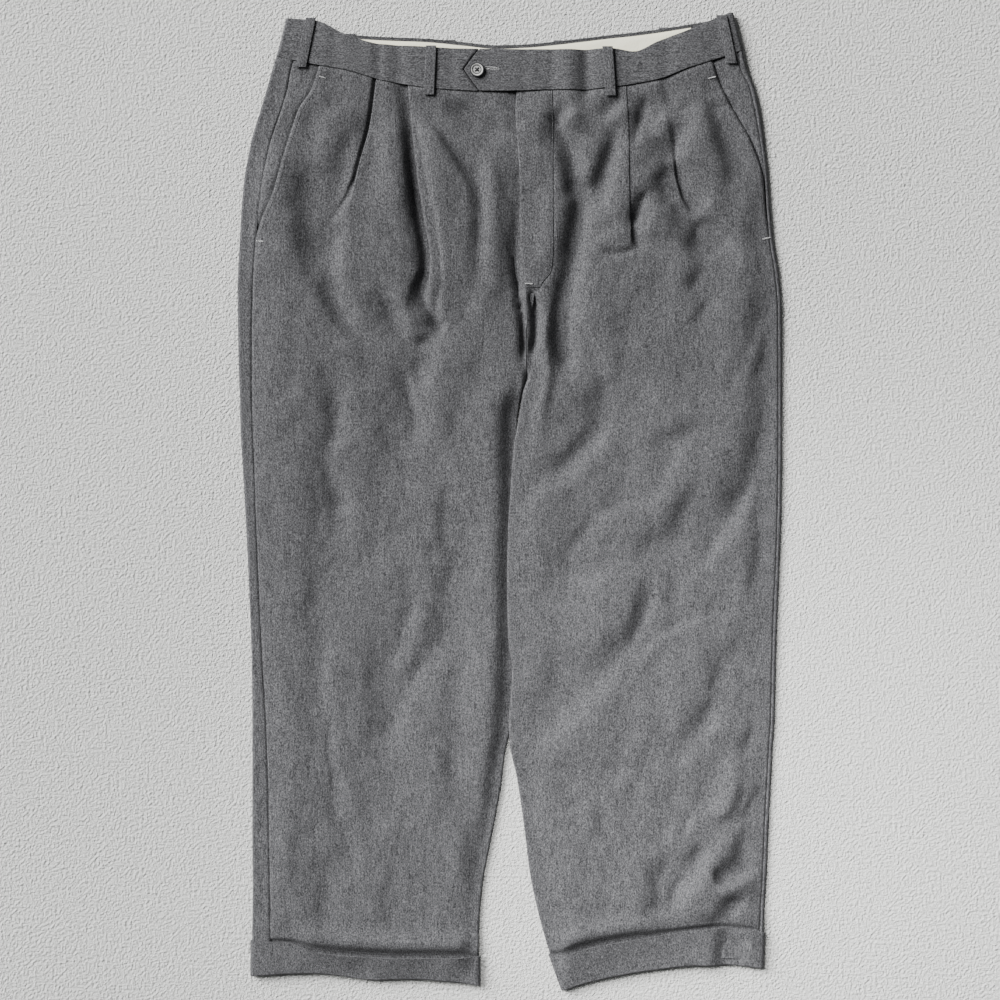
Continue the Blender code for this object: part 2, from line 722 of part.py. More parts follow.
def moved_out(points, distance):
    """The grid moved along its normals, upwards where it lies flat."""
    normal = normals_of(points)
    flip = np.sign(normal[..., 2:].mean())
    return points + normal * flip * distance


def material(finish):
    """The material of a finish, made once."""
    name, colour, roughness, metallic = finish
    made = bpy.data.materials.get(name) or bpy.data.materials.new(name)
    made.use_nodes = True
    shader = made.node_tree.nodes["Principled BSDF"]
    shader.inputs["Base Color"].default_value = (*colour, 1.0)
    shader.inputs["Roughness"].default_value = roughness
    shader.inputs["Metallic"].default_value = metallic
    made.diffuse_color = (*colour, 1.0)
    return made


def add(collection, name, mesh, finish, thickness=None):
    """Adds the mesh as an object of the trousers, as a wall where a thickness is given."""
    mesh.materials.append(material(finish))
    mesh.shade_smooth()
    mesh.set_sharp_from_angle(angle=SHARP_ANGLE)
    piece = bpy.data.objects.new(name, mesh)
    collection.objects.link(piece)
    if thickness:
        wall = piece.modifiers.new("Wall", "SOLIDIFY")
        wall.thickness = thickness * MM
        wall.offset = 0.0
        wall.use_even_offset = True
        wall.use_quality_normals = True
    return piece


def sheet_mesh(name, points, closed=False):
    """A lofted surface through a grid of points (x, down, z), round on itself where it is closed."""
    mesh = bmesh.new()
    height = LENGTH / 2
    rows = [[mesh.verts.new((x * MM, (height - down) * MM, z * MM)) for x, down, z in row] for row in points]
    for above, below in zip(rows[:-1], rows[1:]):
        ends = above[1:] + above[:1] if closed else above[1:]
        ends_below = below[1:] + below[:1] if closed else below[1:]
        for a, b, c, d in zip(above, ends, ends_below, below):
            mesh.faces.new((a, d, c, b))
    bmesh.ops.recalc_face_normals(mesh, faces=mesh.faces)
    made = bpy.data.meshes.new(name)
    mesh.to_mesh(made)
    mesh.free()
    return made


def build_legs(collection):
    """The fronts, backs and pocket facings of both legs, and the fly piece on the left front."""
    for side, word in ((RIGHT, "right"), (LEFT, "left")):
        front = grid(side, front_columns(side), STATIONS, front_height)
        add(collection, f"front_{word}", sheet_mesh(f"front_{word}", front), WOOL, CLOTH)
        back = grid(side, back_columns(side), STATIONS, no_height)
        add(collection, f"back_{word}", sheet_mesh(f"back_{word}", back), WOOL, CLOTH)
        facing_rows = STATIONS[STATIONS < SLANT_END - 10.0]
        facing = grid(side, facing_columns(side), facing_rows, facing_height)
        add(collection, f"pocket_facing_{word}", sheet_mesh(f"pocket_facing_{word}", facing), WOOL, CLOTH)
        if side == LEFT:
            fly = moved_out(front, CLOTH + SEAM_GAP)[STATIONS <= FLY_END, -FLY_COLUMNS:]
            add(collection, "fly", sheet_mesh("fly", fly), WOOL, CLOTH)


def lapped_height(side, x):
    """Mid surface of the front waistband, whose left half lies over the right behind the button."""
    if side == RIGHT:
        return waistband_height(x) - BAND_LAP_STEP * smooth(-72.0, -56.0, x)
    return waistband_height(x) + BAND_LAP_STEP * smooth(45.0, 12.0, x)


def waistband_grid(side):
    """Points of half the waistband, from the fly round the side to the centre back."""
    shares = np.linspace(0.0, 1.0, 5)
    half = WAISTBAND_CLOTH / 2
    low = WAISTBAND_BACK_HEIGHT
    radius = (WAISTBAND_FRONT_HEIGHT - low) / 2
    middle = leg(side, "inner", STATIONS[0]) + SEAM_GAP / 2
    start = np.full(shares.shape, BAND_END[side])
    if side == LEFT:
        start -= TAB_POINT * (1 - np.abs(2 * shares - 1))

    def edge(down):
        above_outline = LEG_ROWS[side][0][0] - np.minimum(down, LEG_ROWS[side][0][0])
        return leg(side, "out_edge", down) - SIDE_SLOPE * above_outline - half

    def line(out_at, height, under):
        """The points across the band's depth, with `under` 0 on the front and 1 on the back."""
        down = waist_seam(0.0, under) - WAISTBAND_DEPTH * (1 - shares)
        for _ in range(SETTLING_STEPS):
            x = side * out_at(down)
            top = waist("top", x) * (1 - under) + waist("back_top", x) * under
            down = top + (waist_seam(x, under) - top) * shares
        if height is None:
            height = lapped_height(side, x)
        return np.stack([x, down, np.broadcast_to(height, x.shape)], axis=-1)

    columns = []
    for share in np.linspace(0.0, 1.0, 16) ** 0.9:
        columns.append(line(lambda down, s=share: start + (edge(down) - radius - start) * s, None, 0.0))
    for angle in np.radians((45.0, 0.0, -45.0)):
        round_edge = line(lambda down, a=angle: edge(down) - radius * (1 - math.cos(a)),
                          low + radius * (1 + math.sin(angle)), (1 - math.sin(angle)) / 2)
        columns.append(round_edge)
    for share in UNDER_SHARES:
        columns.append(line(lambda down, s=share: (edge(down) - radius) * (1 - s) + middle * s, low, 1.0))
    return np.stack(columns, axis=1)


def build_waist(collection):
    """Both halves of the waistband, and the lining that shows inside its back."""
    for side, word in ((RIGHT, "right"), (LEFT, "left")):
        name = f"waistband_{word}"
        add(collection, name, sheet_mesh(name, waistband_grid(side)), WOOL, WAISTBAND_CLOTH)
    x = np.linspace(*LINING_ENDS, 20)
    low = np.full(x.shape, WAISTBAND_BACK_HEIGHT + (WAISTBAND_CLOTH + CLOTH) / 2 + SEAM_GAP)
    edges = [waist("back_top", x) + inset for inset in (LINING_INSET, WAISTBAND_DEPTH - LINING_INSET)]
    lining = np.stack([np.stack([x, down, low], axis=-1) for down in edges])
    add(collection, "waistband_lining", sheet_mesh("waistband_lining", lining), LINING, CLOTH)


def build_loops(collection):
    """The belt loops, numbered from the wearer's right: four in front, then four on the back."""
    half = LOOP_SIZE[0] / 2
    shares = np.array((0.0, 0.5, 1.0))
    strips = []
    front = np.full(shares.shape, WAISTBAND_FRONT_HEIGHT + WAISTBAND_CLOTH / 2 + SEAM_GAP + CLOTH / 2)
    for (x0, down0), (x1, down1) in FRONT_LOOPS:
        x, down = x0 + (x1 - x0) * shares, down0 + (down1 - down0) * shares
        strips.append([np.stack([x + step, down, front], axis=-1) for step in (-half, half)])
    back = np.full(shares.shape, CLOTH / 2)
    for middle in BACK_LOOPS:
        down = waist("back_top", middle) - LOOP_OVER_TOP + LOOP_SIZE[1] * shares
        sides = (np.full(shares.shape, middle - half), np.full(shares.shape, middle + half))
        strips.append([np.stack([x, down, back], axis=-1) for x in sides])
    for number, strip in enumerate(strips, start=1):
        name = f"belt_loop_{number}"
        add(collection, name, sheet_mesh(name, np.stack(strip, axis=1)), WOOL, CLOTH)


def cuff_sag(side, out):
    """How far the upper edge of a turn-up stands off the leg."""
    if side == LEFT:
        return 0.0
    inner, outer = SAG_ENDS
    return CUFF_SAG * smooth(*inner, out) * smooth(*outer, out)


def cuff_grid(side):
    """Points of a turn-up: rows from its upper edge over the hem fold to its hidden inner end."""
    half = CLOTH / 2
    fold_radius = CUFF_STEP / 2
    inner_length = HEM_RETURN - 2 * fold_radius
    rows = [(0.0, 0.0, 0.0), (0.5, 0.0, 0.0), (1.0, 0.0, 0.0)]
    for angle in np.radians((60.0, 120.0, 180.0)):
        rows.append((1.0, fold_radius * math.sin(angle), fold_radius * (1 - math.cos(angle))))
    rows.append((1.0, -inner_length + fold_radius, CUFF_STEP))

    def section(out_share, kind, down, sink, stand):
        """(out, height) of the ring at this row, `sink` inside its outer layer."""
        inner = leg(side, "inner", down) + half + sink
        outer = leg(side, "out_edge", down) + CUFF_STEP - half - sink
        low = BACK_HEIGHT + sink
        radius_out = loft("radius", down) + CUFF_STEP - sink
        radius_in = INNER_EDGE_RADIUS + CUFF_STEP - sink
        left, right = inner - CUFF_STEP + radius_in, outer - radius_out
        if kind == "under":
            return left + (right - left) * out_share, low
        if kind == "outer":
            return right + radius_out * math.cos(out_share), low + radius_out * (1 + math.sin(out_share))
        if kind == "inner":
            return left - radius_in * math.cos(out_share), low + radius_in * (1 + math.sin(out_share))
        out = left + (right - left) * out_share
        return out, top_height(side, out, down) + CUFF_STEP - sink + stand * cuff_sag(side, out)

    places = [(share, "under") for share in np.linspace(0.0, 1.0, 5)]
    places += [(math.radians(angle), "outer") for angle in (-45, 0, 45)]
    places += [(share, "top") for share in np.linspace(1.0, 0.0, 13)]
    places += [(math.radians(angle), "inner") for angle in (45, 0, -45)]
    columns = []
    for amount, kind in places:
        column = []
        for share, beyond, sink in rows:
            down = STATIONS[-1]
            for _ in range(SETTLING_STEPS):
                out, height = section(amount, kind, down, sink, 1.0 - share)
                top = cuff(side, "cuff_top", out)
                bottom = cuff(side, "hem", out) - fold_radius
                down = top + (bottom - top) * share + beyond
            column.append((side * out, down, height))
        columns.append(column)
    return np.array(columns, dtype=float).transpose(1, 0, 2)


def build_cuffs(collection):
    """Both turn-ups, each a tube of its own round the hem."""
    for side, word in ((RIGHT, "right"), (LEFT, "left")):
        name = f"cuff_{word}"
        add(collection, name, sheet_mesh(name, cuff_grid(side), closed=True), WOOL, CLOTH)


def build_button(collection, cutters):
    """A four-hole button: a dished disc with a raised rim, lying on the tab."""
    radius, thickness = BUTTON_SIZE[0] / 2, BUTTON_SIZE[1]
    profile = (
        (0.0, thickness - 0.9),
        (radius - 2.2, thickness - 0.9),
        (radius - 1.6, thickness),
        (radius - 0.5, thickness - 0.1),
        (radius, thickness - 0.8),
        (radius - 0.4, 0.3),
        (radius - 1.4, 0.0),
        (0.0, 0.0),
    )
    mesh = bmesh.new()
    points = [mesh.verts.new((across * MM, 0.0, z * MM)) for across, z in profile]
    for a, b in zip(points[:-1], points[1:]):
        mesh.edges.new((a, b))
    made = bpy.data.meshes.new("button")
    mesh.to_mesh(made)
    mesh.free()
    button = add(collection, "button", made, HORN)
    turning = button.modifiers.new("Turn", "SCREW")
    turning.steps = turning.render_steps = 24
    turning.use_merge_vertices = True
    turning.merge_threshold = 0.00001
    drills = bmesh.new()
    for angle in np.radians((45, 135, 225, 315)):
        across = BUTTON_HOLE_PLACE * MM * Matrix.Rotation(angle, 3, "Z").col[0]
        hole = dict(segments=8, radius1=BUTTON_HOLE * MM, radius2=BUTTON_HOLE * MM, depth=3 * thickness * MM)
        bmesh.ops.create_cone(drills, cap_ends=True, matrix=Matrix.Translation(across), **hole)
    drill_mesh = bpy.data.meshes.new("button_holes")
    drills.to_mesh(drill_mesh)
    drills.free()
    holes = bpy.data.objects.new("button_holes", drill_mesh)
    cutters.objects.link(holes)
    holes.hide_render = True
    holes.display_type = "WIRE"
    cut = button.modifiers.new("Holes", "BOOLEAN")
    cut.operation = "DIFFERENCE"
    cut.object = holes
    x, down = BUTTON_PLACE
    rest = lapped_height(LEFT, x) + WAISTBAND_CLOTH / 2 + SEAM_GAP
    button.location = holes.location = (x * MM, (LENGTH / 2 - down) * MM, rest * MM)


def main():
    """Clears the scene and builds the trousers."""
    for item in list(bpy.data.objects):
        bpy.data.objects.remove(item, do_unlink=True)
    trousers = bpy.data.collections.new("pleated_trousers")
    cutters = bpy.data.collections.new("cutters")
    for made in (trousers, cutters):
        bpy.context.scene.collection.children.link(made)
    build_legs(trousers)
    build_waist(trousers)
    build_loops(trousers)
    build_cuffs(trousers)
    build_button(trousers, cutters)


main()
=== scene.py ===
"""Pleated wool dress trousers laid flat on their back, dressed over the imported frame.

Sizes are in millimetres until a mesh is made. `down` is the distance from the topmost point towards
the hems, `out` the distance from the middle line towards the side of the leg in hand, and x grows
towards the wearer's left.
"""

import json
import logging
import math
from collections.abc import Callable, Sequence
from dataclasses import dataclass, field
from enum import Enum
from functools import cached_property, partial

import bmesh
import bpy
import numpy as np
from mathutils import Matrix, Vector, noise

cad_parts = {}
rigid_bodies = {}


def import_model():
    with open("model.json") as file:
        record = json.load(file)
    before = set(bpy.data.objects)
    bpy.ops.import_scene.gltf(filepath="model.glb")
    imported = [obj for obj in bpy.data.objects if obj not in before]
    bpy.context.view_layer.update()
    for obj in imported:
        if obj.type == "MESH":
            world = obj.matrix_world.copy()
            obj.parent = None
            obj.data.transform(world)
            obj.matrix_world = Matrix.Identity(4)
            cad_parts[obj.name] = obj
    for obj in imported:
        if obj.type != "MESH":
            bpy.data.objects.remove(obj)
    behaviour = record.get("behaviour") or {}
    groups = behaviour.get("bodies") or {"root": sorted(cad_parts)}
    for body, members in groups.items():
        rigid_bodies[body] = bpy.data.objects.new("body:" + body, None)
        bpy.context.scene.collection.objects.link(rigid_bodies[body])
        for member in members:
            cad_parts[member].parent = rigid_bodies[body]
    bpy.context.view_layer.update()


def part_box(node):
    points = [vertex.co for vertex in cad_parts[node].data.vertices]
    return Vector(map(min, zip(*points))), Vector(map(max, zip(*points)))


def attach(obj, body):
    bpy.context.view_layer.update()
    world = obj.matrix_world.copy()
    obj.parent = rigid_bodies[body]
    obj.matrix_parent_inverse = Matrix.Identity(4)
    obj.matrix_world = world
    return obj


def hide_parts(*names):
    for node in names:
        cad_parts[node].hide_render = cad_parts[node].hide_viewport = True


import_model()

log = logging.getLogger("trousers")

Array = np.ndarray
Pair = tuple[Array, Array]
Triple = tuple[float, float, float]
Place = Callable[[Array], Pair]
Line = Callable[[Array], Array]
Piece = bpy.types.Object
Material = bpy.types.Material

MM = 0.001
LENGTH = 1057.0
BODY = "root"
LEAST_TURN = 1e-3


class Side(Enum):
    """The wearer's right or left leg, by the sign of its x."""

    RIGHT = -1
    LEFT = 1

    @property
    def word(self) -> str:
        """The side's name as the nodes spell it."""
        return self.name.lower()


class Layer(float, Enum):
    """Which face of the laid trousers a piece of the waist belongs to."""

    FRONT = 0.0
    BACK = 1.0


def smooth(start: float | Array, end: float | Array, value: float | Array) -> Array:
    """Rises from 0 at one place to 1 at another, with level ends.

    Args:
        start: Where it is still 0.
        end: Where it has become 1, on either side of the start.
        value: Where it is read.

    Returns:
        Shares from 0 to 1.
    """
    share = np.clip((value - start) / (end - start), 0.0, 1.0)
    return share * share * (3.0 - 2.0 * share)


@dataclass(frozen=True)
class Ramp:
    """A rise from 0 at one place to its height at another, with level ends."""

    start: float
    end: float
    height: float = 1.0

    def at(self, value: float | Array) -> Array:
        """The ramp's height there."""
        return self.height * smooth(self.start, self.end, value)


@dataclass(frozen=True)
class Table:
    """Sizes along a line, read along a smooth curve that stays between its rows."""

    columns: tuple[str, ...]
    rows: tuple[tuple[float, ...], ...]

    def read(self, name: str, at: float | Array) -> Array:
        """Reads one column.

        Args:
            name: The column.
            at: Where to read, in the first column's measure.

        Returns:
            The column's values there.
        """
        table = np.array(self.rows, dtype=float)
        xs, ys = table[:, 0], table[:, self.columns.index(name)]
        rise = np.diff(ys) / np.diff(xs)
        slopes = np.concatenate([rise[:1], np.zeros(len(xs) - 2), rise[-1:]])
        steady = rise[:-1] * rise[1:] > 0
        total = np.where(steady, rise[:-1] + rise[1:], 1.0)
        slopes[1:-1] = np.where(steady, 2 * rise[:-1] * rise[1:] / total, 0.0)
        at = np.clip(at, xs[0], xs[-1])
        i = np.clip(np.searchsorted(xs, at) - 1, 0, len(xs) - 2)
        step = xs[i + 1] - xs[i]
        t = (at - xs[i]) / step
        bend = (1 - t) * slopes[i] - t * slopes[i + 1] + (2 * t - 1) * rise[i]
        return ys[i] + (ys[i + 1] - ys[i]) * t + step * t * (1 - t) * bend


# --- The outline, as the nodes have it ---

LEG_COLUMNS = ("down", "out_edge", "seam", "front_edge", "inner")
LEGS = {
    Side.RIGHT: Table(LEG_COLUMNS, (
        (40, 249.5, 230, 200, -8),
        (64, 257, 236, 207, -7.5),
        (85, 263, 240, 214, -8),
        (105, 269, 246, 227, -6.5),
        (143, 280, 258.5, 240, -9),
        (192, 288, 267.5, 253.5, -11),
        (246, 291.5, 273.5, 273.5, -12),
        (300, 294, 277, 277, -16),
        (343, 293.5, 278, 278, -18),
        (390, 292.5, 278, 278, -18.4),
        (413, 291.5, 278, 278, -13.2),
        (442, 291, 277, 277, -9),
        (513, 287, 274.5, 274.5, -8),
        (611, 282, 271, 271, -6),
        (710, 278.5, 266, 266, -5.5),
        (771, 278, 262.5, 262.5, -1.5),
        (802, 278, 261.5, 261.5, 5),
        (835, 278, 260.5, 260.5, 9),
        (889, 278, 259.5, 259.5, 19),
        (943, 277.5, 258.5, 258.5, 29),
        (985, 278, 258, 258, 32.5),
        (1057, 278.5, 258, 258, 33.5),
    )),
    Side.LEFT: Table(LEG_COLUMNS, (
        (36, 250.5, 246, 214, 8),
        (58, 255.5, 248.5, 220, 7.5),
        (80, 264, 259, 228, 8),
        (105, 270, 265, 241, 6.5),
        (143, 275.5, 271.5, 262, 9),
        (179, 279.5, 275.8, 273.5, 11),
        (215, 282, 278, 276.5, 11.3),
        (246, 285, 281, 281, 12),
        (284, 291, 287, 287, 16),
        (322, 294, 290, 290, 18),
        (390, 294.3, 290.3, 290.3, 19),
        (413, 294.3, 290.3, 290.3, 14),
        (442, 294.3, 290.3, 290.3, 9),
        (473, 294.3, 290.3, 290.3, 4),
        (513, 294, 290, 290, 1),
        (561, 293, 289, 289, -2),
        (611, 291, 287, 287, -3),
        (671, 288.5, 284.5, 284.5, -2),
        (710, 287.5, 283.5, 283.5, 2.5),
        (771, 286, 282, 282, -1),
        (789, 284.5, 280.5, 280.5, 0),
        (828, 282.5, 278.5, 278.5, 8),
        (883, 279.5, 275.5, 275.5, 16),
        (931, 277.5, 273.5, 273.5, 22),
        (973, 275, 271, 271, 31),
        (1012, 273.5, 269.5, 269.5, 42),
        (1035, 273, 269, 269, 50),
        (1057, 273, 269, 269, 58),
    )),
}

WAIST = Table(("x", "back_top", "top", "seam"), (
    (-250, 6, 6, 48),
    (-208, 14, 10, 57),
    (-178, 23, 24, 62),
    (-140, 26, 35, 73),
    (-90, 28, 38, 81.5),
    (-50, 31.8, 40, 84.5),
    (-14, 35.2, 40.2, 85.5),
    (16, 34.2, 40.5, 85),
    (40, 32.2, 40.5, 84),
    (75, 28.2, 41, 84.3),
    (110, 24, 39.5, 81.3),
    (134, 21.5, 43, 78),
    (160, 18, 32, 73),
    (192, 13, 20, 61),
    (220, 8, 8, 52),
    (244, 0, 0, 44),
    (256, 0, 0, 39),
))

CUFF_COLUMNS = ("out", "cuff_top", "hem")
CUFFS = {
    Side.RIGHT: Table(CUFF_COLUMNS, (
        (30, 1019, 1051),
        (62, 1020, 1046),
        (112, 1020, 1043),
        (147, 1019, 1044),
        (190, 1016, 1038.5),
        (208, 1014, 1037),
        (238, 1004, 1037.5),
        (281, 1002, 1040.5),
    )),
    Side.LEFT: Table(CUFF_COLUMNS, (
        (40, 1017, 1058.5),
        (58, 1017, 1055.5),
        (74, 1012.5, 1050),
        (105, 1005, 1042),
        (143, 999, 1035),
        (194, 991, 1029),
        (234, 988, 1028),
        (275, 993, 1032),
    )),
}

# Where each turn-up's upper edge begins to gape, where it has closed again, and how it narrows.
MOUTHS = {
    Side.RIGHT: (Ramp(36.0, 56.0), Ramp(240.0, 206.0), Ramp(190.0, 120.0, 0.0)),
    Side.LEFT: (Ramp(50.0, 64.0), Ramp(276.0, 256.0), Ramp(190.0, 120.0, 0.7)),
}

LOFT = Table(("down", "radius", "crown"), (
    (40, 2.8, 8.4),
    (90, 2.8, 9.6),
    (150, 2.6, 12.0),
    (250, 2.6, 12.4),
    (350, 2.6, 11.6),
    (450, 2.5, 10.8),
    (700, 2.4, 10.2),
    (940, 2.2, 9.4),
    (1004, 1.9, 7.6),
    (1057, 1.8, 6.4),
))

FLY_SEAM = Table(("down", "out"), (
    (60, 46),
    (255, 46.5),
    (280, 44.5),
    (298, 33),
    (330, 42),
    (450, 50),
    (1057, 50),
))


class PleatPart(Enum):
    """Where in a pleat's folded cloth a column stands."""

    LOWER_BEND = 0
    RUN = 1
    UPPER_BEND = 2


@dataclass(frozen=True)
class Pleat:
    """A pleat folded towards the pocket, which opens out into the leg.

    Its table gives the visible fold, the hidden run, how far it is turned and the length of a bend.
    The cloth outside it starts to sink at `dip_run` from the pleat and is fully down at `dip_end`.
    """

    sizes: Table
    dip_run: float = 18.0
    dip_end: float = 1.5
    inner_fade: Ramp = Ramp(26.0, 3.0)

    def read(self, name: str, down: Array) -> Array:
        """One of the pleat's sizes at this distance down."""
        return self.sizes.read(name, down)

    def point(self, part: PleatPart, share: float, down: Array) -> Pair:
        """A point of the folded cloth.

        Args:
            part: The part of the pleat.
            share: How far along that part.
            down: Distances down.

        Returns:
            How far inward of the visible fold and how far above it the point lies.
        """
        run, bend = self.read("run", down), self.read("bend", down)
        turn = np.radians(self.read("turn", down))
        bend_in, bend_up = turned(bend, turn, 1.0)
        whole = 2 * bend_in + run * np.cos(turn), 2 * bend_up + run * np.sin(turn)
        if part is PleatPart.LOWER_BEND:
            across, up = turned(bend, turn, share)
        elif part is PleatPart.RUN:
            across, up = bend_in + run * share * np.cos(turn), bend_up + run * share * np.sin(turn)
        else:
            rest = turned(bend, turn, 1.0 - share)
            across, up = whole[0] - rest[0], whole[1] - rest[1]
        return across - whole[0], up - whole[1]

    def start(self, down: Array) -> Pair:
        """Where the cloth from outside bends into the pleat, by the visible fold."""
        return self.point(PleatPart.LOWER_BEND, 0.0, down)

    def reach(self, out: Array, down: Array) -> Pair:
        """How far a point lies outside the pleat, and how deep the pleat is there."""
        across, up = self.start(down)
        return out - self.read("out", down) - np.maximum(-across, 0.0), -up

    def room(self, out: Array, down: Array) -> Array:
        """Height that the pleat's layers need under the top one.

        Args:
            out: Distances out.
            down: Distances down.

        Returns:
            Heights in millimetres.
        """
        beyond, depth = self.reach(out, down)
        inner_end = self.read("out", down) - self.read("run", down)
        return depth * smooth(self.dip_run - 2.0, self.dip_end, beyond) * self.inner_fade.at(inner_end - out)

    def dip(self, out: Array, down: Array) -> Array:
        """How far the cloth outside the pleat sinks to pass under it."""
        beyond, depth = self.reach(out, down)
        return depth * smooth(self.dip_run, self.dip_end, beyond)


def turned(length: Array, turn: Array, share: float | Array) -> Pair:
    """A point along an arc.

    Args:
        length: The arc's whole length.
        turn: How far it turns in all, in radians.
        share: How far along it the point is.

    Returns:
        Distances along the start's direction and across it.
    """
    turn = np.maximum(turn, LEAST_TURN)
    radius = length / turn
    return radius * np.sin(turn * share), radius * (1 - np.cos(turn * share))


PLEAT_COLUMNS = ("down", "out", "run", "turn", "bend")
PLEATS = {
    Side.RIGHT: (
        Pleat(Table(PLEAT_COLUMNS, (
            (60, 141, 10, 180, 2.6),
            (120, 149, 6, 180, 3.0),
            (165, 161, 1.5, 180, 2.4),
            (195, 168, 2, 60, 1.4),
            (224, 172, 3, 0, 6),
            (420, 182, 8, 0, 10),
            (1057, 190, 8, 0, 10),
        )), 7.0),
        Pleat(Table(PLEAT_COLUMNS, (
            (60, 110, 17, 180, 3.4),
            (100, 106, 15, 180, 4.4),
            (136, 102, 12, 180, 5.8),
            (180, 96.5, 8, 180, 7.2),
            (225, 89, 4, 180, 8.0),
            (265, 83, 2, 180, 8.0),
            (300, 83, 2, 80, 7.0),
            (334, 79, 3, 0, 6),
            (450, 85, 8, 0, 10),
            (1057, 126, 8, 0, 10),
        ))),
    ),
    Side.LEFT: (
        Pleat(Table(PLEAT_COLUMNS, (
            (60, 155, 3, 12, 4),
            (100, 162, 3, 14, 4),
            (143, 172, 3, 25, 3),
            (175, 177, 2, 60, 2.2),
            (195, 182, 2, 60, 2.2),
            (224, 190, 3, 0, 6),
            (420, 195, 8, 0, 10),
            (1057, 192, 8, 0, 10),
        )), 30.0),
        Pleat(Table(PLEAT_COLUMNS, (
            (60, 124, 15, 180, 0.7),
            (110, 127, 12, 180, 0.6),
            (143, 128, 9, 180, 0.7),
            (205, 128.5, 4, 180, 1.0),
            (235, 130, 2, 120, 1.0),
            (262, 128, 3, 0, 6),
            (450, 120, 8, 0, 10),
            (1057, 140, 8, 0, 10),
        ))),
    ),
}


# --- Folds of the laid cloth ---


@dataclass(frozen=True)
class Fold:
    """One soft ridge of the laid cloth, or a trough where its height is negative.

    The points are x and down in turn. `lean` widens the slope at the viewer's left of a path that goes
    down, which is the slope below a path that goes right. A `crest` under 2 makes the top sharper.
    """

    height: float
    width: float
    points: tuple[float, ...]
    lean: float = 1.0
    crest: float = 2.0
    ends: tuple[float, float] = (0.3, 0.3)
    spread: float = 3.2

    @cached_property
    def path(self) -> Array:
        """The fold's middle line, rounded between its points.

        Returns:
            Points (x, down).
        """
        points = np.reshape(self.points, (-1, 2)).astype(float)
        if len(points) < 3:
            return points
        ends = 2 * points[0] - points[1], 2 * points[-1] - points[-2]
        p = np.vstack([ends[0], points, ends[1]])
        t = np.linspace(0.0, 1.0, 6, endpoint=False)[:, None]
        spans = [
            0.5 * (2 * b + (c - a) * t + (2 * a - 5 * b + 4 * c - d) * t**2 + (3 * b - a - 3 * c + d) * t**3)
            for a, b, c, d in zip(p[:-3], p[1:-2], p[2:-1], p[3:])
        ]
        return np.vstack([*spans, points[-1:]])

    def profile(self, distance: Array, left: Array, across: Array) -> Array:
        """Shape across the path.

        Args:
            distance: Distances from the path.
            left: How far to the left of the path, which is less than 0 to its right.
            across: The path's direction across, from -1 to 1, and along, as two rows; not used by this shape.

        Returns:
            Shares of the fold's height.
        """
        wider = (self.lean - 1) * smooth(-0.5 * self.width, 0.5 * self.width, left)
        return np.exp(-((distance / (self.width * (1 + wider))) ** self.crest))

    def rise(self, x: Array, down: Array) -> Array:
        """Height that the fold adds.

        Args:
            x: Places across.
            down: Distances down.

        Returns:
            Heights in millimetres.
        """
        path = self.path
        reach = self.spread * self.width * max(1.0, self.lean)
        low, high = path.min(axis=0) - reach, path.max(axis=0) + reach
        near = (x > low[0]) & (x < high[0]) & (down > low[1]) & (down < high[1])
        total = np.zeros(x.shape)
        if not near.any():
            return total
        px, pd = x[near], down[near]
        steps = np.diff(path, axis=0)
        lengths = np.hypot(*steps.T)
        starts = np.concatenate([[0.0], np.cumsum(lengths)])
        nearest, along, left = np.full(px.shape, np.inf), np.zeros(px.shape), np.zeros(px.shape)
        across = np.zeros((2, *px.shape))
        for (x0, d0), (dx, dd), start, length in zip(path[:-1], steps, starts, lengths):
            share = np.clip(((px - x0) * dx + (pd - d0) * dd) / length**2, 0.0, 1.0)
            vx, vd = px - x0 - share * dx, pd - d0 - share * dd
            distance = np.hypot(vx, vd)
            closer = distance < nearest
            nearest = np.where(closer, distance, nearest)
            along = np.where(closer, (start + share * length) / starts[-1], along)
            left = np.where(closer, (dx * vd - dd * vx) / length, left)
            across = np.where(closer, np.array([[dx], [dd]]) / length, across)
        taper = 0.12 + 0.88 * smooth(0.0, self.ends[0], along) * smooth(1.0, 1.0 - self.ends[1], along)
        total[near] = self.height * taper * self.profile(nearest, left, across)
        return total


@dataclass(frozen=True)
class Flank(Fold):
    """One slope of the laid cloth, which rises away from the window where its height is positive.

    On its path it is as steep as its height over its width, and it eases off gently on both sides.
    """

    spread: float = 6.0
    away: tuple[float, float] = (0.83, 0.55)
    fade: float = 3.5

    def profile(self, distance: Array, left: Array, across: Array) -> Array:
        """Shape across the path, with its steepest slope on the path.

        Args:
            distance: Distances from the path.
            left: How far to the left of the path.
            across: The path's direction across and along.

        Returns:
            Shares of the flank's height.
        """
        facing = -across[1] * self.away[0] + across[0] * self.away[1]
        facing *= 1.15 / (np.abs(facing) + 0.15)
        side = np.where(left > 0, self.lean, 1.0)
        place = left / (self.width * side)
        beyond = (distance**2 - left**2) / self.width**2
        return facing * side * place / (1 + place**2) * np.exp(-((place / self.fade) ** 2) - beyond)


@dataclass(frozen=True)
class Ripple:
    """Small uneven swells all over the cloth: height, and lengths across and along."""

    height: float
    across: float
    along: float
    seed: float

    def rise(self, x: Array, down: Array) -> Array:
        """Heights of the swells at these places."""
        spots = np.stack([x / self.across, down / self.along, np.full(x.shape, self.seed)], axis=-1)
        values = [noise.noise(Vector(spot)) for spot in spots.reshape(-1, 3)]
        return self.height * np.array(values).reshape(x.shape)


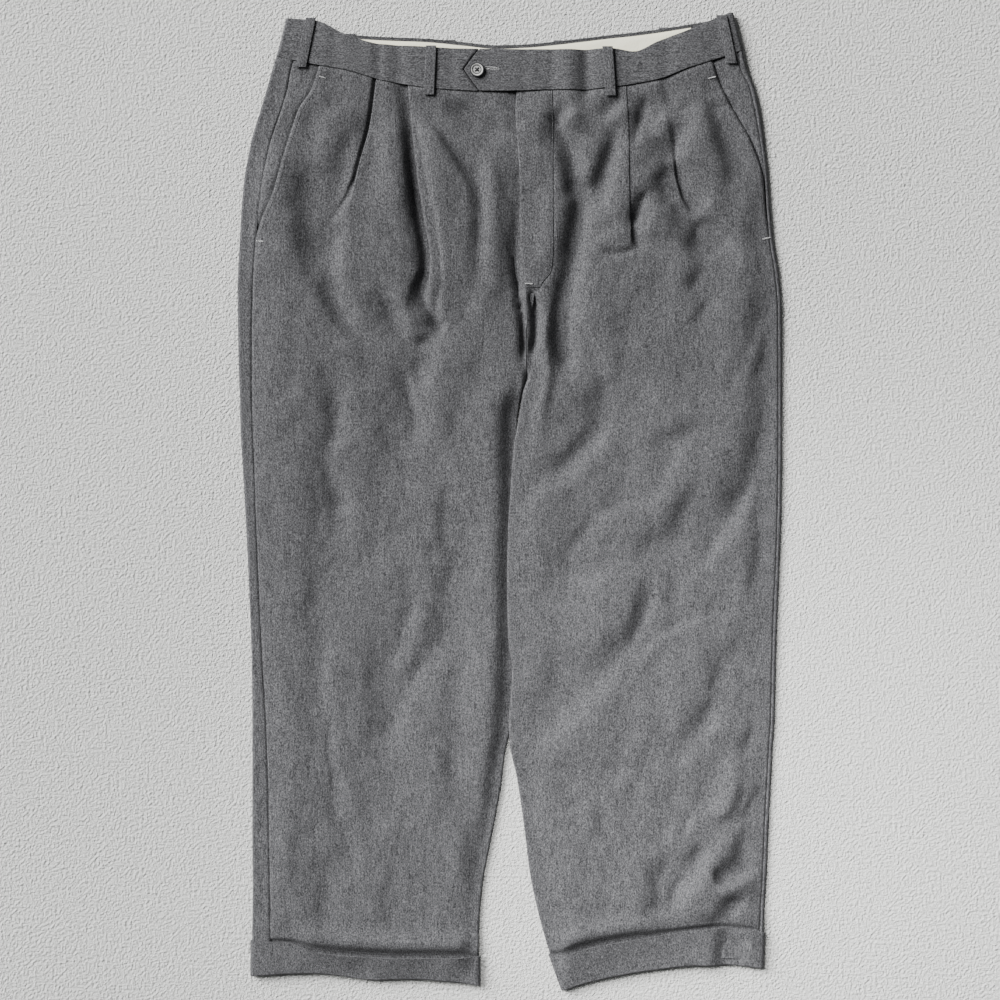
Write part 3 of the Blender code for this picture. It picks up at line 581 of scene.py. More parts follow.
RIGHT_FOLDS = (
    # Broad swells
    Fold(2, 30, (-72, 110, -66, 240, -62, 330)),
    Fold(1.5, 34, (-212, 120, -222, 260)),
    # Hollows by the fly, at the inner pleat and under the band
    Fold(-7, 3.4, (10, 180, 9, 220, 7, 260, 10, 300, 15, 350, 19, 386), 1.5, ends=(0.5, 0.1)),
    Fold(-10, 5.5, (
        -105, 108, -101, 150, -98, 180, -92, 215, -84, 245, -80, 262, -82, 300, -82, 322, -76, 337, -66, 341,
    ), 2, ends=(0.2, 0.03)),
    Fold(2.6, 9, (-124, 160, -120, 230, -124, 290, -108, 338)),
    Fold(-3.4, 6, (-134, 306, -122, 340, -104, 358, -84, 356, -72, 346), 1.4),
    Fold(-3.4, 6, (-112, 376, -104, 400, -101, 430, -104, 458), 2),
    Fold(-7, 9, (-76, 90, -52, 105, -34, 119, -12, 131, 4, 148), 1.3),
    # Between the inner pleat and the fly
    Flank(-5, 8, (-98, 104, -78, 132, -58, 162, -44, 190)),
    Flank(-4.4, 8, (-102, 98, -80, 126, -60, 156, -44, 182, -37, 215, -38, 256, -43, 306)),
    Flank(3.4, 9, (-90, 150, -84, 200, -76, 250, -76, 320)),
    Flank(6.4, 10, (-97, 120, -88, 180, -80, 240, -80, 310)),
    Flank(5.8, 8, (-46, 140, -28, 164, -26, 204, -26, 258, -28, 300)),
    Flank(-3, 6, (-20, 162, -12, 184, -4, 208)),
    Flank(-2.4, 11, (-6, 170, -10, 215, -12, 260, -6, 320, 6, 376)),
    # Hip and outer pleat
    Flank(-9, 22, (-232, 140, -230, 210, -218, 300)),
    Flank(6.5, 17, (-210, 100, -204, 140, -212, 172)),
    Flank(7, 15, (-136, 100, -138, 150, -142, 220)),
    Flank(4.3, 10, (-170, 120, -172, 170, -186, 236)),
    # Thigh, round the ends of the pleats
    Flank(-8, 12, (-206, 272, -202, 306, -184, 336, -166, 356, -154, 380)),
    Flank(8.5, 12, (-182, 226, -184, 286, -168, 330, -150, 358)),
    Flank(-3.5, 7, (-146, 298, -158, 322)),
    Flank(5.8, 8, (-130, 300, -116, 326, -100, 350)),
    # From the thigh to the knee
    Flank(6.5, 15, (-74, 330, -82, 380, -94, 420, -92, 454, -72, 482, -58, 520)),
    Flank(6.1, 15, (-180, 372, -176, 410, -174, 450, -184, 478, -176, 530, -168, 590)),
    Flank(-5.3, 18, (-214, 372, -202, 420, -196, 470, -192, 520, -180, 586)),
    Flank(-2.9, 16, (-222, 470, -214, 560, -214, 680)),
    # Knee
    Flank(-3.2, 12, (-142, 442, -132, 470, -118, 486)),
    Flank(-4.1, 14, (-84, 496, -76, 540, -72, 600, -64, 640)),
    Flank(-2.6, 8, (-98, 568, -84, 600, -70, 626)),
    # Long creases down the lower leg
    Flank(4.7, 14, (-200, 622, -198, 705, -190, 780, -178, 850, -166, 890, -158, 960)),
    Flank(-3.7, 13, (-202, 730, -198, 780, -188, 830, -182, 870, -171, 906, -168, 948)),
    # Below the knee
    Flank(-3.2, 13, (-112, 592, -110, 636, -120, 668)),
    Flank(4.4, 11, (-102, 624, -106, 668, -122, 716)),
    Flank(-4.3, 13, (-82, 636, -82, 668, -96, 700, -108, 736)),
    Flank(4.9, 18, (-58, 664, -84, 706, -112, 752, -124, 800)),
    # Calf
    Flank(-3.7, 15, (-148, 676, -150, 730, -148, 780, -146, 820)),
    Flank(-4.9, 14, (-64, 742, -66, 800, -62, 840, -54, 880, -50, 950)),
    Flank(3.4, 11, (-50, 652, -46, 720, -52, 790)),
    # Above the turn-up
    Flank(-2.2, 10, (-130, 900, -130, 984)),
    Flank(-2, 11, (-212, 900, -212, 990)),
    Flank(-2.6, 7, (-74, 966, -66, 990, -60, 1004)),
    Flank(2.9, 17, (-250, 700, -250, 940)),
)

LEFT_FOLDS = (
    # Broad swell
    Fold(2, 38, (115, 130, 122, 250, 130, 370)),
    # Hollows by the fly and at the crotch
    Fold(-10, 8, (46, 96, 57, 130, 66, 152, 72, 180, 76, 204), 1.5, ends=(0.7, 0.1)),
    Fold(-12, 10, (76, 176, 77, 210, 72, 250, 68, 290), 1.3, ends=(0.15, 0.4)),
    Fold(-13, 9, (69, 262, 64, 292, 59, 320, 58, 348, 61, 378, 68, 400), 1.3, ends=(0.3, 0.25)),
    Fold(-8, 4.6, (23, 298, 27, 318, 28, 345, 25, 378), ends=(0.15, 0.25)),
    Fold(4.5, 7, (44, 292, 40, 340, 37, 400, 30, 473), crest=1.6),
    # Hollows of the pleats
    Fold(-4, 4.5, (148, 88, 144, 110, 137, 132, 133, 152), 1.4),
    Fold(-7, 5, (147, 190, 139, 212, 132, 234), 1.4),
    Fold(-3, 3.2, (97, 257, 116, 261, 140, 255)),
    # From the fly to the pleats
    Flank(-4.3, 16, (48, 108, 28, 148)),
    Flank(5.4, 17, (48, 176, 32, 236, 30, 282)),
    Flank(10, 8, (68, 100, 60, 114, 56, 128)),
    Flank(9, 8, (124, 92, 114, 108, 100, 120)),
    Flank(-3, 4.5, (149, 186, 142, 206, 134, 232)),
    Flank(-8.5, 12, (118, 122, 104, 150, 92, 178, 80, 206, 74, 226)),
    Flank(9, 12, (122, 112, 116, 150, 108, 190, 106, 230)),
    Flank(3.5, 8, (124, 232, 98, 244, 84, 262)),
    Flank(3.2, 7, (152, 208, 148, 230, 132, 246)),
    # Hip and pocket
    Flank(9, 14, (172, 98, 162, 116, 150, 136)),
    Flank(11, 11, (200, 116, 188, 142, 178, 168)),
    Flank(4.1, 9, (220, 194, 206, 210, 194, 228)),
    Flank(-10.5, 14, (210, 94, 218, 120, 227, 148, 235, 174, 240, 200), ends=(0.15, 0.4)),
    # Hook-shaped fold below the hip
    Fold(-11, 14, (165, 164, 182, 196, 206, 228, 234, 256), 1.5, ends=(0.3, 0.1)),
    Flank(-3.8, 12, (170, 158, 150, 198)),
    Flank(-4.6, 5.5, (173, 180, 176, 198, 180, 216), ends=(0.1, 0.1)),
    Flank(-11, 18, (214, 212, 200, 236, 184, 262)),
    Flank(-5.9, 9, (238, 238, 214, 266)),
    Flank(-4.1, 12, (182, 212, 166, 252)),
    Flank(-6, 14, (212, 270, 184, 302)),
    Flank(-1.9, 5.5, (186, 344, 202, 324, 219, 306)),
    # Thigh
    Flank(7.3, 16, (78, 286, 80, 336, 96, 372, 114, 408)),
    Flank(-4.8, 20, (284, 292, 264, 336, 246, 378, 232, 416)),
    Flank(-3.4, 12, (278, 334, 268, 370, 262, 404)),
    Flank(3, 11, (276, 330, 254, 376, 242, 420)),
    Flank(-7.2, 22, (104, 398, 70, 438)),
    Flank(-4.2, 11, (82, 436, 72, 462, 54, 480, 34, 494)),
    Flank(5.9, 12, (114, 420, 98, 456, 78, 484, 46, 508, 10, 532)),
    # Knee
    Flank(7, 35, (62, 596, 28, 700)),
    Flank(6.4, 20, (100, 584, 84, 660)),
    Flank(-2.2, 9.7, (72, 545, 59, 585)),
    Flank(-1.1, 6.8, (60, 596, 62, 660)),
    # Long diagonal from the side to the knee
    Flank(-4.8, 13, (214, 436, 188, 450, 162, 464, 152, 492)),
    Flank(2.8, 8, (228, 448, 190, 468, 174, 500, 162, 526, 122, 540, 88, 552, 70, 578, 63, 610)),
    Flank(-6.5, 16, (202, 504, 186, 534, 160, 560, 124, 576)),
    Flank(2.6, 11, (200, 582, 160, 592, 132, 594)),
    # Outer side of the knee
    Flank(-6, 18, (266, 398, 263, 450, 250, 494, 238, 530, 220, 564), 1.7),
    Flank(5.6, 9.7, (262, 504, 243, 545, 226, 578, 200, 602)),
    Flank(-3.4, 12, (263, 545, 259, 600, 255, 652)),
    # Shin
    Flank(-4, 13, (250, 664, 226, 702, 204, 737), 1.5),
    Flank(-5.6, 20, (150, 604, 132, 650, 110, 690, 90, 718), 1.6),
    Flank(3.4, 8.2, (167, 602, 151, 646, 131, 684, 118, 714)),
    Flank(5.9, 15, (124, 702, 96, 736, 60, 770, 16, 806)),
    Flank(2.4, 6.8, (202, 655, 160, 680, 124, 702)),
    Flank(2.2, 5.5, (195, 632, 215, 650, 240, 652, 248, 630)),
    Flank(-4.8, 13, (236, 728, 206, 750, 186, 768, 168, 792)),
    Flank(3.4, 9.7, (238, 760, 206, 774)),
    # Calf
    Flank(3.4, 12, (202, 796, 176, 818)),
    Flank(5.9, 31, (62, 738, 30, 802)),
    Flank(-3.1, 11, (264, 760, 247, 800)),
    Flank(-2.2, 9.7, (110, 848, 98, 872, 106, 900, 112, 932)),
    Flank(-5.3, 12, (174, 904, 160, 940, 150, 990), 1.5),
    Flank(-4.1, 11, (206, 898, 182, 922)),
    Flank(3.7, 6.8, (196, 858, 188, 892)),
    Flank(2.5, 8.2, (176, 862, 170, 902)),
    # Pinched folds above the turn-up
    Flank(9.6, 11, (228, 896, 208, 922, 192, 948, 175, 972)),
    Flank(-2.5, 5.5, (186, 934, 168, 970)),
    Flank(-6.7, 11, (252, 878, 241, 906, 224, 926, 211, 948)),
    Flank(-5.9, 9.7, (254, 829, 238, 850, 224, 877)),
    Flank(-4.1, 11, (276, 838, 252, 862, 240, 884)),
    Flank(8.5, 9.7, (273, 924, 246, 938, 220, 950)),
    Flank(-13.8, 16, (248, 950, 206, 988)),
    Flank(-5.9, 8.2, (271, 930, 267, 960, 262, 986)),
    Flank(7.1, 8.2, (251, 961, 239, 981)),
    # Inner side and the last small wrinkles
    Flank(-3.4, 8.2, (35, 904, 28, 926)),
    Flank(-3.4, 8.2, (43, 954, 38, 986)),
    Flank(2.5, 8.2, (108, 838, 124, 812)),
    Flank(-1.6, 8.2, (138, 800, 132, 830)),
    Flank(3.7, 12, (206, 872, 226, 842, 246, 806)),
)

FOLDS = {Side.RIGHT: RIGHT_FOLDS, Side.LEFT: LEFT_FOLDS}

CUFF_FOLDS = {
    Side.RIGHT: (
        Flank(1.8, 14, (-150, 1018, -148, 1044)),
        Flank(-1.4, 14, (-225, 1006, -222, 1036)),
        Flank(-1.4, 12, (-62, 1018, -58, 1048)),
    ),
    Side.LEFT: (
        Flank(-6, 12, (228, 984, 222, 1032), ends=(0.05, 0.05)),
        Flank(4, 9, (258, 996, 250, 1030)),
        Flank(-1.4, 14, (96, 1010, 100, 1042)),
    ),
}

RIPPLES = (
    Ripple(2.4, 62.0, 120.0, 3.5),
    Ripple(1.8, 24.0, 40.0, 11.5),
    Ripple(0.7, 11.0, 20.0, 21.5),
)

WANDERS = (Ripple(10.0, 34.0, 48.0, 31.5), Ripple(10.0, 40.0, 42.0, 41.5))


# --- Heights of the laid cloth ---


@dataclass(frozen=True)
class LaidCloth:
    """Where the cloth of the legs lies: lines in plan and the heights of its layers."""

    cloth: float = 1.0
    seam_gap: float = 0.3
    back_height: float = 0.5
    back_seam_height: float = 2.2
    band_height: float = 7.6
    band_depth: float = 43.0
    band_creases: tuple[Triple, ...] = (
        (83.0, 6.5, 3.6), (64.0, 9.0, -2.4), (-142.0, 4.5, 1.6), (-120.0, 9.0, 2.0), (46.0, 4.0, 0.9),
        (16.0, 5.0, 0.8), (-62.0, 5.0, 0.9), (170.0, 8.0, 1.2), (-188.0, 7.0, 1.0), (104.0, 8.0, -1.2),
    )
    swell_begins: Ramp = Ramp(24.0, 62.0, 2.2)
    swell_ends: Ramp = Ramp(236.0, 196.0)
    gape_depth: float = 9.0
    cuff_step: float = 1.8
    inner_radius: float = 1.9
    hinge_run: float = 2.0
    least_clear: float = 2.0
    lowest: float = 0.6
    highest: float = 18.0
    first_row: float = 86.0
    last_row: float = 1043.0
    waist_follow: float = 260.0
    hem_follow: float = 900.0
    hem_return: float = 6.5
    fly_end: float = 298.0
    legs_part: Ramp = Ramp(375.0, 430.0)
    under_fly: Ramp = Ramp(345.0, 305.0, 10.0)
    lap_begins: Ramp = Ramp(385.0, 432.0, 5.4)
    lap_ends: Ramp = Ramp(838.0, 785.0)
    under_run: float = 16.0
    top_run: float = 50.0
    back_seam: Ramp = Ramp(8.0, 32.0)
    into_cuff: Ramp = Ramp(-30.0, -9.0)
    crown_run: float = 26.0
    fall_runs: tuple[float, float] = (11.5, 20.0)
    crest: Ramp = Ramp(960.0, 760.0, 7.0)
    crest_run: float = 32.0
    edge_calm: Ramp = Ramp(1.0, 26.0)
    cuff_calm: Ramp = Ramp(-15.0, 45.0)
    waist_calm: Ramp = Ramp(0.0, 28.0)
    wandering: Ramp = Ramp(300.0, 420.0)

    def leg(self, side: Side, name: str, down: Array) -> Array:
        """A line of one leg, as its distance from the middle line."""
        return LEGS[side].read(name, down)

    def waist_seam(self, x: Array, layer: float) -> Array:
        """Seam under the waistband, from the front's at layer 0 to the back's at 1."""
        back = WAIST.read("back_top", x) + self.band_depth
        return WAIST.read("seam", x) * (1 - layer) + back * layer

    def leg_share(self, down: Array) -> Array:
        """0 where the fronts lie side by side, 1 where each leg is a tube of its own."""
        return self.legs_part.at(down)

    def fly_seam(self, side: Side, down: Array) -> Array:
        """The J seam of the fly, which goes on down the leg as a guide line."""
        return FLY_SEAM.read("out", down) + self.leg(side, "inner", down) * self.leg_share(down)

    def fly_lap(self, side: Side, down: Array) -> Array:
        """How far the right front runs on under the left one at the fly."""
        return self.under_fly.at(down) * (side is Side.RIGHT)

    def lifted(self, side: Side, out: Array, down: Array, run: float) -> Array:
        """Lift of the left leg where its inner edge lies over the right leg's.

        Args:
            side: The leg.
            out: Distances out.
            down: Distances down.
            run: How far in from the edge the lift ends.

        Returns:
            Heights in millimetres.
        """
        if side is Side.RIGHT:
            return np.zeros(np.broadcast(out, down).shape)
        inner = self.leg(Side.LEFT, "inner", down)
        lap = np.maximum(0.0, -self.leg(Side.RIGHT, "inner", down) - inner) + 1.5
        lift = self.lap_begins.at(down) * self.lap_ends.at(down)
        return lift * (1.0 - smooth(lap, lap + run, out - inner))

    def under(self, side: Side, out: Array, down: Array) -> Array:
        """Mid surface of the back, which rests flat but for its ends and the lapped edge.

        Args:
            side: The leg.
            out: Distances out.
            down: Distances down.

        Returns:
            Heights over the resting plane.
        """
        at_waist = 1.0 - self.back_seam.at(down - self.waist_seam(side.value * out, Layer.BACK))
        at_cuff = self.into_cuff.at(down - CUFFS[side].read("cuff_top", out))
        height = self.back_height + (self.back_seam_height - self.back_height) * at_waist
        return height + self.cuff_step * at_cuff + self.lifted(side, out, down, self.under_run)

    def hinge_drop(self, down: Array) -> Array:
        """How far the round inner edge reaches below the top of the leg."""
        turn = np.maximum(self.leg_share(down) * math.pi, LEAST_TURN)
        bend = math.pi * self.inner_radius
        return (1 - np.cos(turn)) * bend / turn + self.hinge_run * np.sin(turn)

    def band(self, x: Array) -> Array:
        """Mid surface of the front waistband's lower layer.

        Args:
            x: Places across.

        Returns:
            Heights over the resting plane.
        """
        height = self.band_height + 0.3 * np.sin(x / 31.0 + 0.7)
        height = height + self.swell_begins.at(np.abs(x)) * self.swell_ends.at(np.abs(x))
        for crease, width, depth in self.band_creases:
            height = height - depth * np.exp(-(((x - crease) / width) ** 2))
        return height

    def gape(self, side: Side, out: Array) -> Array:
        """How open the turn-up's upper edge stands, from 0 to 1."""
        opens, closes, narrows = MOUTHS[side]
        return opens.at(out) * (1.0 - narrows.height + narrows.at(out)) * closes.at(out)

    def folds(self, side: Side, x: Array, down: Array) -> Array:
        """Height that the folds and swells of one leg add; below the pleats their paths wander."""
        over, on = (self.wandering.at(down) * wander.rise(x, down) for wander in WANDERS)
        total = sum(fold.rise(x + over, down + on) for fold in FOLDS[side])
        return total + sum(ripple.rise(x, down) for ripple in RIPPLES)

    def top(self, side: Side, out: Array, down: Array) -> Array:
        """Mid surface of the top layer.

        Args:
            side: The leg.
            out: Distances out.
            down: Distances down.

        Returns:
            Heights over the resting plane.
        """
        x, tube = side.value * out, self.leg_share(down)
        edge = self.under(side, out, down) - self.lifted(side, out, down, self.under_run)
        crown, radius = LOFT.read("crown", down), LOFT.read("radius", down)
        outer_top = edge + 2 * radius
        inner_top = edge + np.maximum(2 * self.inner_radius, self.hinge_drop(down))
        inner_top += (self.cloth + self.seam_gap) * (1 - tube) * tube
        from_outer = np.maximum(self.leg(side, "out_edge", down) - radius - out, 0.0)
        hinge = self.inner_radius + 2 * self.hinge_run
        from_inner = np.maximum(out - self.leg(side, "inner", down) - hinge, 0.0)
        height = crown - (crown - outer_top) * np.exp(-((from_outer / self.crown_run) ** 2))
        fall = self.fall_runs[side is Side.LEFT]
        if side is Side.RIGHT:
            crest = tube * self.crest.at(down)
            height, crown = height + crest * np.exp(-((from_inner / self.crest_run) ** 2)), crown + crest
        height -= (crown - inner_top) * tube * np.exp(-((from_inner / fall) ** 2))
        mask = self.edge_calm.at(from_outer) * (1 - tube * (1 - self.edge_calm.at(from_inner)))
        mask *= self.cuff_calm.at(CUFFS[side].read("cuff_top", out) - down)
        height = height + mask * self.folds(side, x, down)
        at_waist = self.waist_calm.at(down - WAIST.read("seam", x))
        height = self.band(x) + (height - self.band(x)) * at_waist
        lowest = edge + self.least_clear + sum(pleat.room(out, down) for pleat in PLEATS[side])
        height = 0.5 * (height + lowest + np.hypot(height - lowest, 1.0))
        height = 0.5 * (height + self.highest - np.hypot(height - self.highest, 2.0))
        height = np.where(from_outer > 0, height, outer_top)
        return height + self.lifted(side, out, down, self.top_run)

    def strips(self, side: Side, places: Sequence[tuple[Place, float]], rows: Array) -> list[Array]:
        """Lays a panel's columns, whose rows follow the waist seam above and the hem below.

        Args:
            side: The leg.
            places: Each column, as a function of the distance down, with its layer from 0 to 1.
            rows: The rows' own distances down.

        Returns:
            Distances out, distances down and the places' second values, rows by columns.
        """
        strips = []
        for place, layer in places:
            down = rows.copy()
            for _ in range(4):
                out = place(down)[0]
                top = self.waist_seam(side.value * out, layer) + self.seam_gap - self.first_row
                bottom = CUFFS[side].read("hem", out) - self.hem_return - self.last_row
                down = (rows + top * smooth(self.waist_follow, self.first_row, rows)
                        + bottom * smooth(self.hem_follow, self.last_row, rows))
            out, second = place(down)
            strips.append((out, down, second))
        return [np.stack(part, axis=1) for part in zip(*strips)]


LAID = LaidCloth()


# --- Meshes ---


def deselect() -> None:
    """Clears the selection, which the frame leaves on its nodes."""
    for item in bpy.context.view_layer.objects:
        item.select_set(False)


def activate(piece: Piece) -> None:
    """Makes this the only selected object, and the active one."""
    deselect()
    piece.select_set(True)
    bpy.context.view_layer.objects.active = piece


def apply_modifiers(piece: Piece) -> None:
    """Applies the piece's modifiers in their order."""
    activate(piece)
    for modifier in list(piece.modifiers):
        bpy.ops.object.modifier_apply(modifier=modifier.name)


def smooth_by_angle(piece: Piece, degrees: float) -> None:
    """Shades the piece smooth but for edges sharper than this."""
    activate(piece)
    bpy.ops.object.shade_smooth_by_angle(angle=math.radians(degrees))


def laid(side: Side, out: Array, down: Array, height: Array) -> Array:
    """Points (x, down, height) of one leg, from their distances out."""
    return np.stack([side.value * out, down, height], axis=-1)


def to_world(points: Array) -> Array:
    """Points (x, down, height) in millimetres as world points in metres."""
    x, down, height = np.moveaxis(points, -1, 0)
    return np.stack([x, LENGTH / 2 - down, height], axis=-1) * MM


def sheet(name: str, points: Array, thickness: float, closed: bool = False) -> Piece:
    """A wall of cloth lofted through a grid of points.

    Args:
        name: The piece's name.
        points: Rows by columns of (x, down, height), in millimetres.
        thickness: Of the cloth, centred on the grid.
        closed: Whether each row runs round on itself.

    Returns:
        The piece, at the origin.
    """
    rows, columns = points.shape[:2]
    index = np.arange(rows * columns).reshape(rows, columns)
    if closed:
        index = np.hstack([index, index[:, :1]])
    faces = np.stack([index[:-1, :-1], index[1:, :-1], index[1:, 1:], index[:-1, 1:]], axis=-1)
    mesh = bpy.data.meshes.new(name)
    mesh.from_pydata(to_world(points).reshape(-1, 3), [], faces.reshape(-1, 4))
    piece = bpy.data.objects.new(name, mesh)
    bpy.context.scene.collection.objects.link(piece)
    made = bmesh.new()
    made.from_mesh(mesh)
    bmesh.ops.recalc_face_normals(made, faces=made.faces)
    made.to_mesh(mesh)
    made.free()
    wall = piece.modifiers.new("Wall", "SOLIDIFY")
    wall.thickness = thickness * MM
    wall.offset = 0.0
    wall.use_even_offset = False
    wall.use_quality_normals = True
    apply_modifiers(piece)
    smooth_by_angle(piece, 60)
    return piece


def round_edges(piece: Piece, width: float, segments: int, sharp: float, shade: float) -> None:
    """Bevels a piece's sharp edges and shades it smooth.

    Args:
        piece: The piece.
        width: Of the bevel, in millimetres.
        segments: Of the bevel.
        sharp: Edges are bevelled above this angle, in degrees.
        shade: Edges stay hard above this angle.
    """
    bevel = piece.modifiers.new("Edge", "BEVEL")
    bevel.width = width * MM
    bevel.segments = segments
    bevel.limit_method = "ANGLE"
    bevel.angle_limit = math.radians(sharp)
    apply_modifiers(piece)
    smooth_by_angle(piece, shade)


def edit_faces(piece: Piece, chosen: Callable[[Vector], bool]) -> None:
    """Enters Edit Mode on the active piece with the faces selected whose normal is chosen.

    Args:
        piece: The active piece.
        chosen: Tells by a face's normal whether it is selected.
    """
    bpy.ops.object.mode_set(mode="EDIT")
    bpy.ops.mesh.select_all(action="DESELECT")
    bpy.ops.object.mode_set(mode="OBJECT")
    for face in piece.data.polygons:
        face.select = chosen(face.normal)
    bpy.ops.object.mode_set(mode="EDIT")


def normals_of(points: Array) -> Array:
    """Unit normals of a grid of points (x, down, height), upwards where it lies flat."""
    normal = np.cross(np.gradient(points, axis=1), np.gradient(points, axis=0))
    normal /= np.maximum(np.linalg.norm(normal, axis=-1, keepdims=True), 1e-9)
    return normal * np.sign(normal[..., 2].mean())


def finish_piece(piece: Piece, slot: str, material: Material, *nodes: str) -> None:
    """Gives a piece its material and its place in the frame.

    Args:
        piece: The finished piece.
        slot: The record's material slot; not used.
        material: What it is made of.
        nodes: The nodes that it stands for.
    """
    piece.data.materials.clear()
    piece.data.materials.append(material)
    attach(piece, BODY)
    if nodes:
        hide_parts(*nodes)
    log.info("%s: %d faces", piece.name, len(piece.data.polygons))


# --- Shader graphs ---


class Value:
    """A number that varies over a surface; arithmetic on it adds Math nodes."""

    def __init__(self, graph: "Graph", socket: bpy.types.NodeSocket) -> None:
        """Wraps a socket of a graph."""
        self.graph, self.socket = graph, socket

    def _math(self, operation: str, first: object, second: object) -> "Value":
        """A Math node on two operands."""
        made = self.graph.node("ShaderNodeMath", {"operation": operation}, {0: first, 1: second})
        return Value(self.graph, made.outputs[0])

    def __add__(self, other: "Value | float") -> "Value":
        """Sum."""
        return self._math("ADD", self, other)

    __radd__ = __add__

    def __sub__(self, other: "Value | float") -> "Value":
        """Difference."""
        return self._math("SUBTRACT", self, other)

    def __rsub__(self, other: float) -> "Value":
        """Difference from a number."""
        return self._math("SUBTRACT", other, self)

    def __mul__(self, other: "Value | float") -> "Value":
        """Product."""
        return self._math("MULTIPLY", self, other)

    __rmul__ = __mul__

    def __pow__(self, power: float) -> "Value":
        """Power."""
        return self._math("POWER", self, power)

    def clamp(self) -> "Value":
        """The value held between 0 and 1."""
        made = self.graph.node("ShaderNodeClamp", {}, {"Value": self})
        return Value(self.graph, made.outputs[0])


class Graph:
    """The nodes of one material."""

    def __init__(self, name: str) -> None:
        """Makes a material with its Principled shader.

        Args:
            name: The material's name.
        """
        self.material = bpy.data.materials.new(name)
        self.material.use_nodes = True
        self.tree = self.material.node_tree
        self.shader = self.tree.nodes["Principled BSDF"]

    def node(self, kind: str, settings: dict[str, object], inputs: dict[str | int, object]) -> bpy.types.Node:
        """Adds a node.

        Args:
            kind: The node's type.
            settings: Its own settings, made first.
            inputs: Values or links of its sockets, by name or number.

        Returns:
            The node.
        """
        made = self.tree.nodes.new(kind)
        for name, value in settings.items():
            setattr(made, name, value)
        for name, value in inputs.items():
            self.connect(made.inputs[name], value)
        return made

    def connect(self, socket: bpy.types.NodeSocket, value: object) -> None:
        """Links a socket to a value, or sets it.

        Args:
            socket: The node's input.
            value: What is linked to it, or its number or colour.
        """
        if isinstance(value, Value):
            self.tree.links.new(value.socket, socket)
        elif isinstance(value, bpy.types.NodeSocket):
            self.tree.links.new(value, socket)
        else:
            socket.default_value = value

    def place(self) -> bpy.types.NodeSocket:
        """Place on the piece, from one node that all of them share."""
        coordinates = self.tree.nodes.get("Place") or self.node("ShaderNodeTexCoord", {"name": "Place"}, {})
        return coordinates.outputs["Object"]

    def stretched(self, stretch: Triple) -> bpy.types.NodeSocket:
        """Place on the piece, with this many repeats for each metre along x, y and z."""
        return self.node("ShaderNodeMapping", {}, {"Vector": self.place(), "Scale": stretch}).outputs[0]

    def noise(self, stretch: Triple, detail: float = 2.0, rough: float = 0.5) -> Value:
        """Noise over the piece, from 0 to 1.

        Args:
            stretch: Repeats for each metre along x, y and z.
            detail: Number of finer layers.
            rough: How strong those are.

        Returns:
            The noise.
        """
        made = self.node("ShaderNodeTexNoise", {}, {
            "Vector": self.stretched(stretch), "Scale": 1.0, "Detail": detail, "Roughness": rough,
        })
        return Value(self, made.outputs[0])

    def bands(self, repeat: float) -> Value:
        """Fine slanting lines, as on twill, with this many repeats for each metre.

        Args:
            repeat: Lines for each metre.

        Returns:
            The lines, from 0 to 1.
        """
        made = self.node("ShaderNodeTexWave", {"bands_direction": "DIAGONAL"}, {
            "Vector": self.stretched((repeat, repeat, 0.0)), "Scale": 1.0, "Distortion": 1.5, "Detail": 1.0,
        })
        return Value(self, made.outputs["Fac"])

    def ring(self, centre: Triple, radius: float, width: float) -> Value:
        """A ring on the flat.

        Args:
            centre: What takes its middle to the origin.
            radius: Of the ring.
            width: Where it has faded out, on both sides.

        Returns:
            1 on the ring, fading to 0.
        """
        kind = "ShaderNodeVectorMath"
        spot = self.node(kind, {"operation": "ADD"}, {0: self.place(), 1: centre})
        flat = self.node(kind, {"operation": "MULTIPLY"}, {0: spot.outputs[0], 1: (1.0, 1.0, 0.0)})
        length = self.node(kind, {"operation": "LENGTH"}, {0: flat.outputs[0]})
        away = (Value(self, length.outputs["Value"]) - radius) * (1 / width)
        return (1 - away * away).clamp()

    def colour(self, share: Value, low: tuple[float, ...], high: tuple[float, ...]) -> None:
        """Feeds the shader a colour between two."""
        made = self.node("ShaderNodeMix", {"data_type": "RGBA"}, {0: share, 6: (*low, 1.0), 7: (*high, 1.0)})
        self.connect(self.shader.inputs["Base Color"], made.outputs[2])

    def bump(self, height: Value, distance: float, strength: float = 1.0) -> None:
        """Feeds a relief to the shader's normal."""
        made = self.node("ShaderNodeBump", {}, {"Height": height, "Distance": distance, "Strength": strength})
        self.connect(self.shader.inputs["Normal"], made.outputs[0])

    def set(self, **values: float) -> None:
        """Sets uniform values on the shader, with _ for a blank in a socket's name."""
        for name, value in values.items():
            self.shader.inputs[name.replace("_", " ")].default_value = value


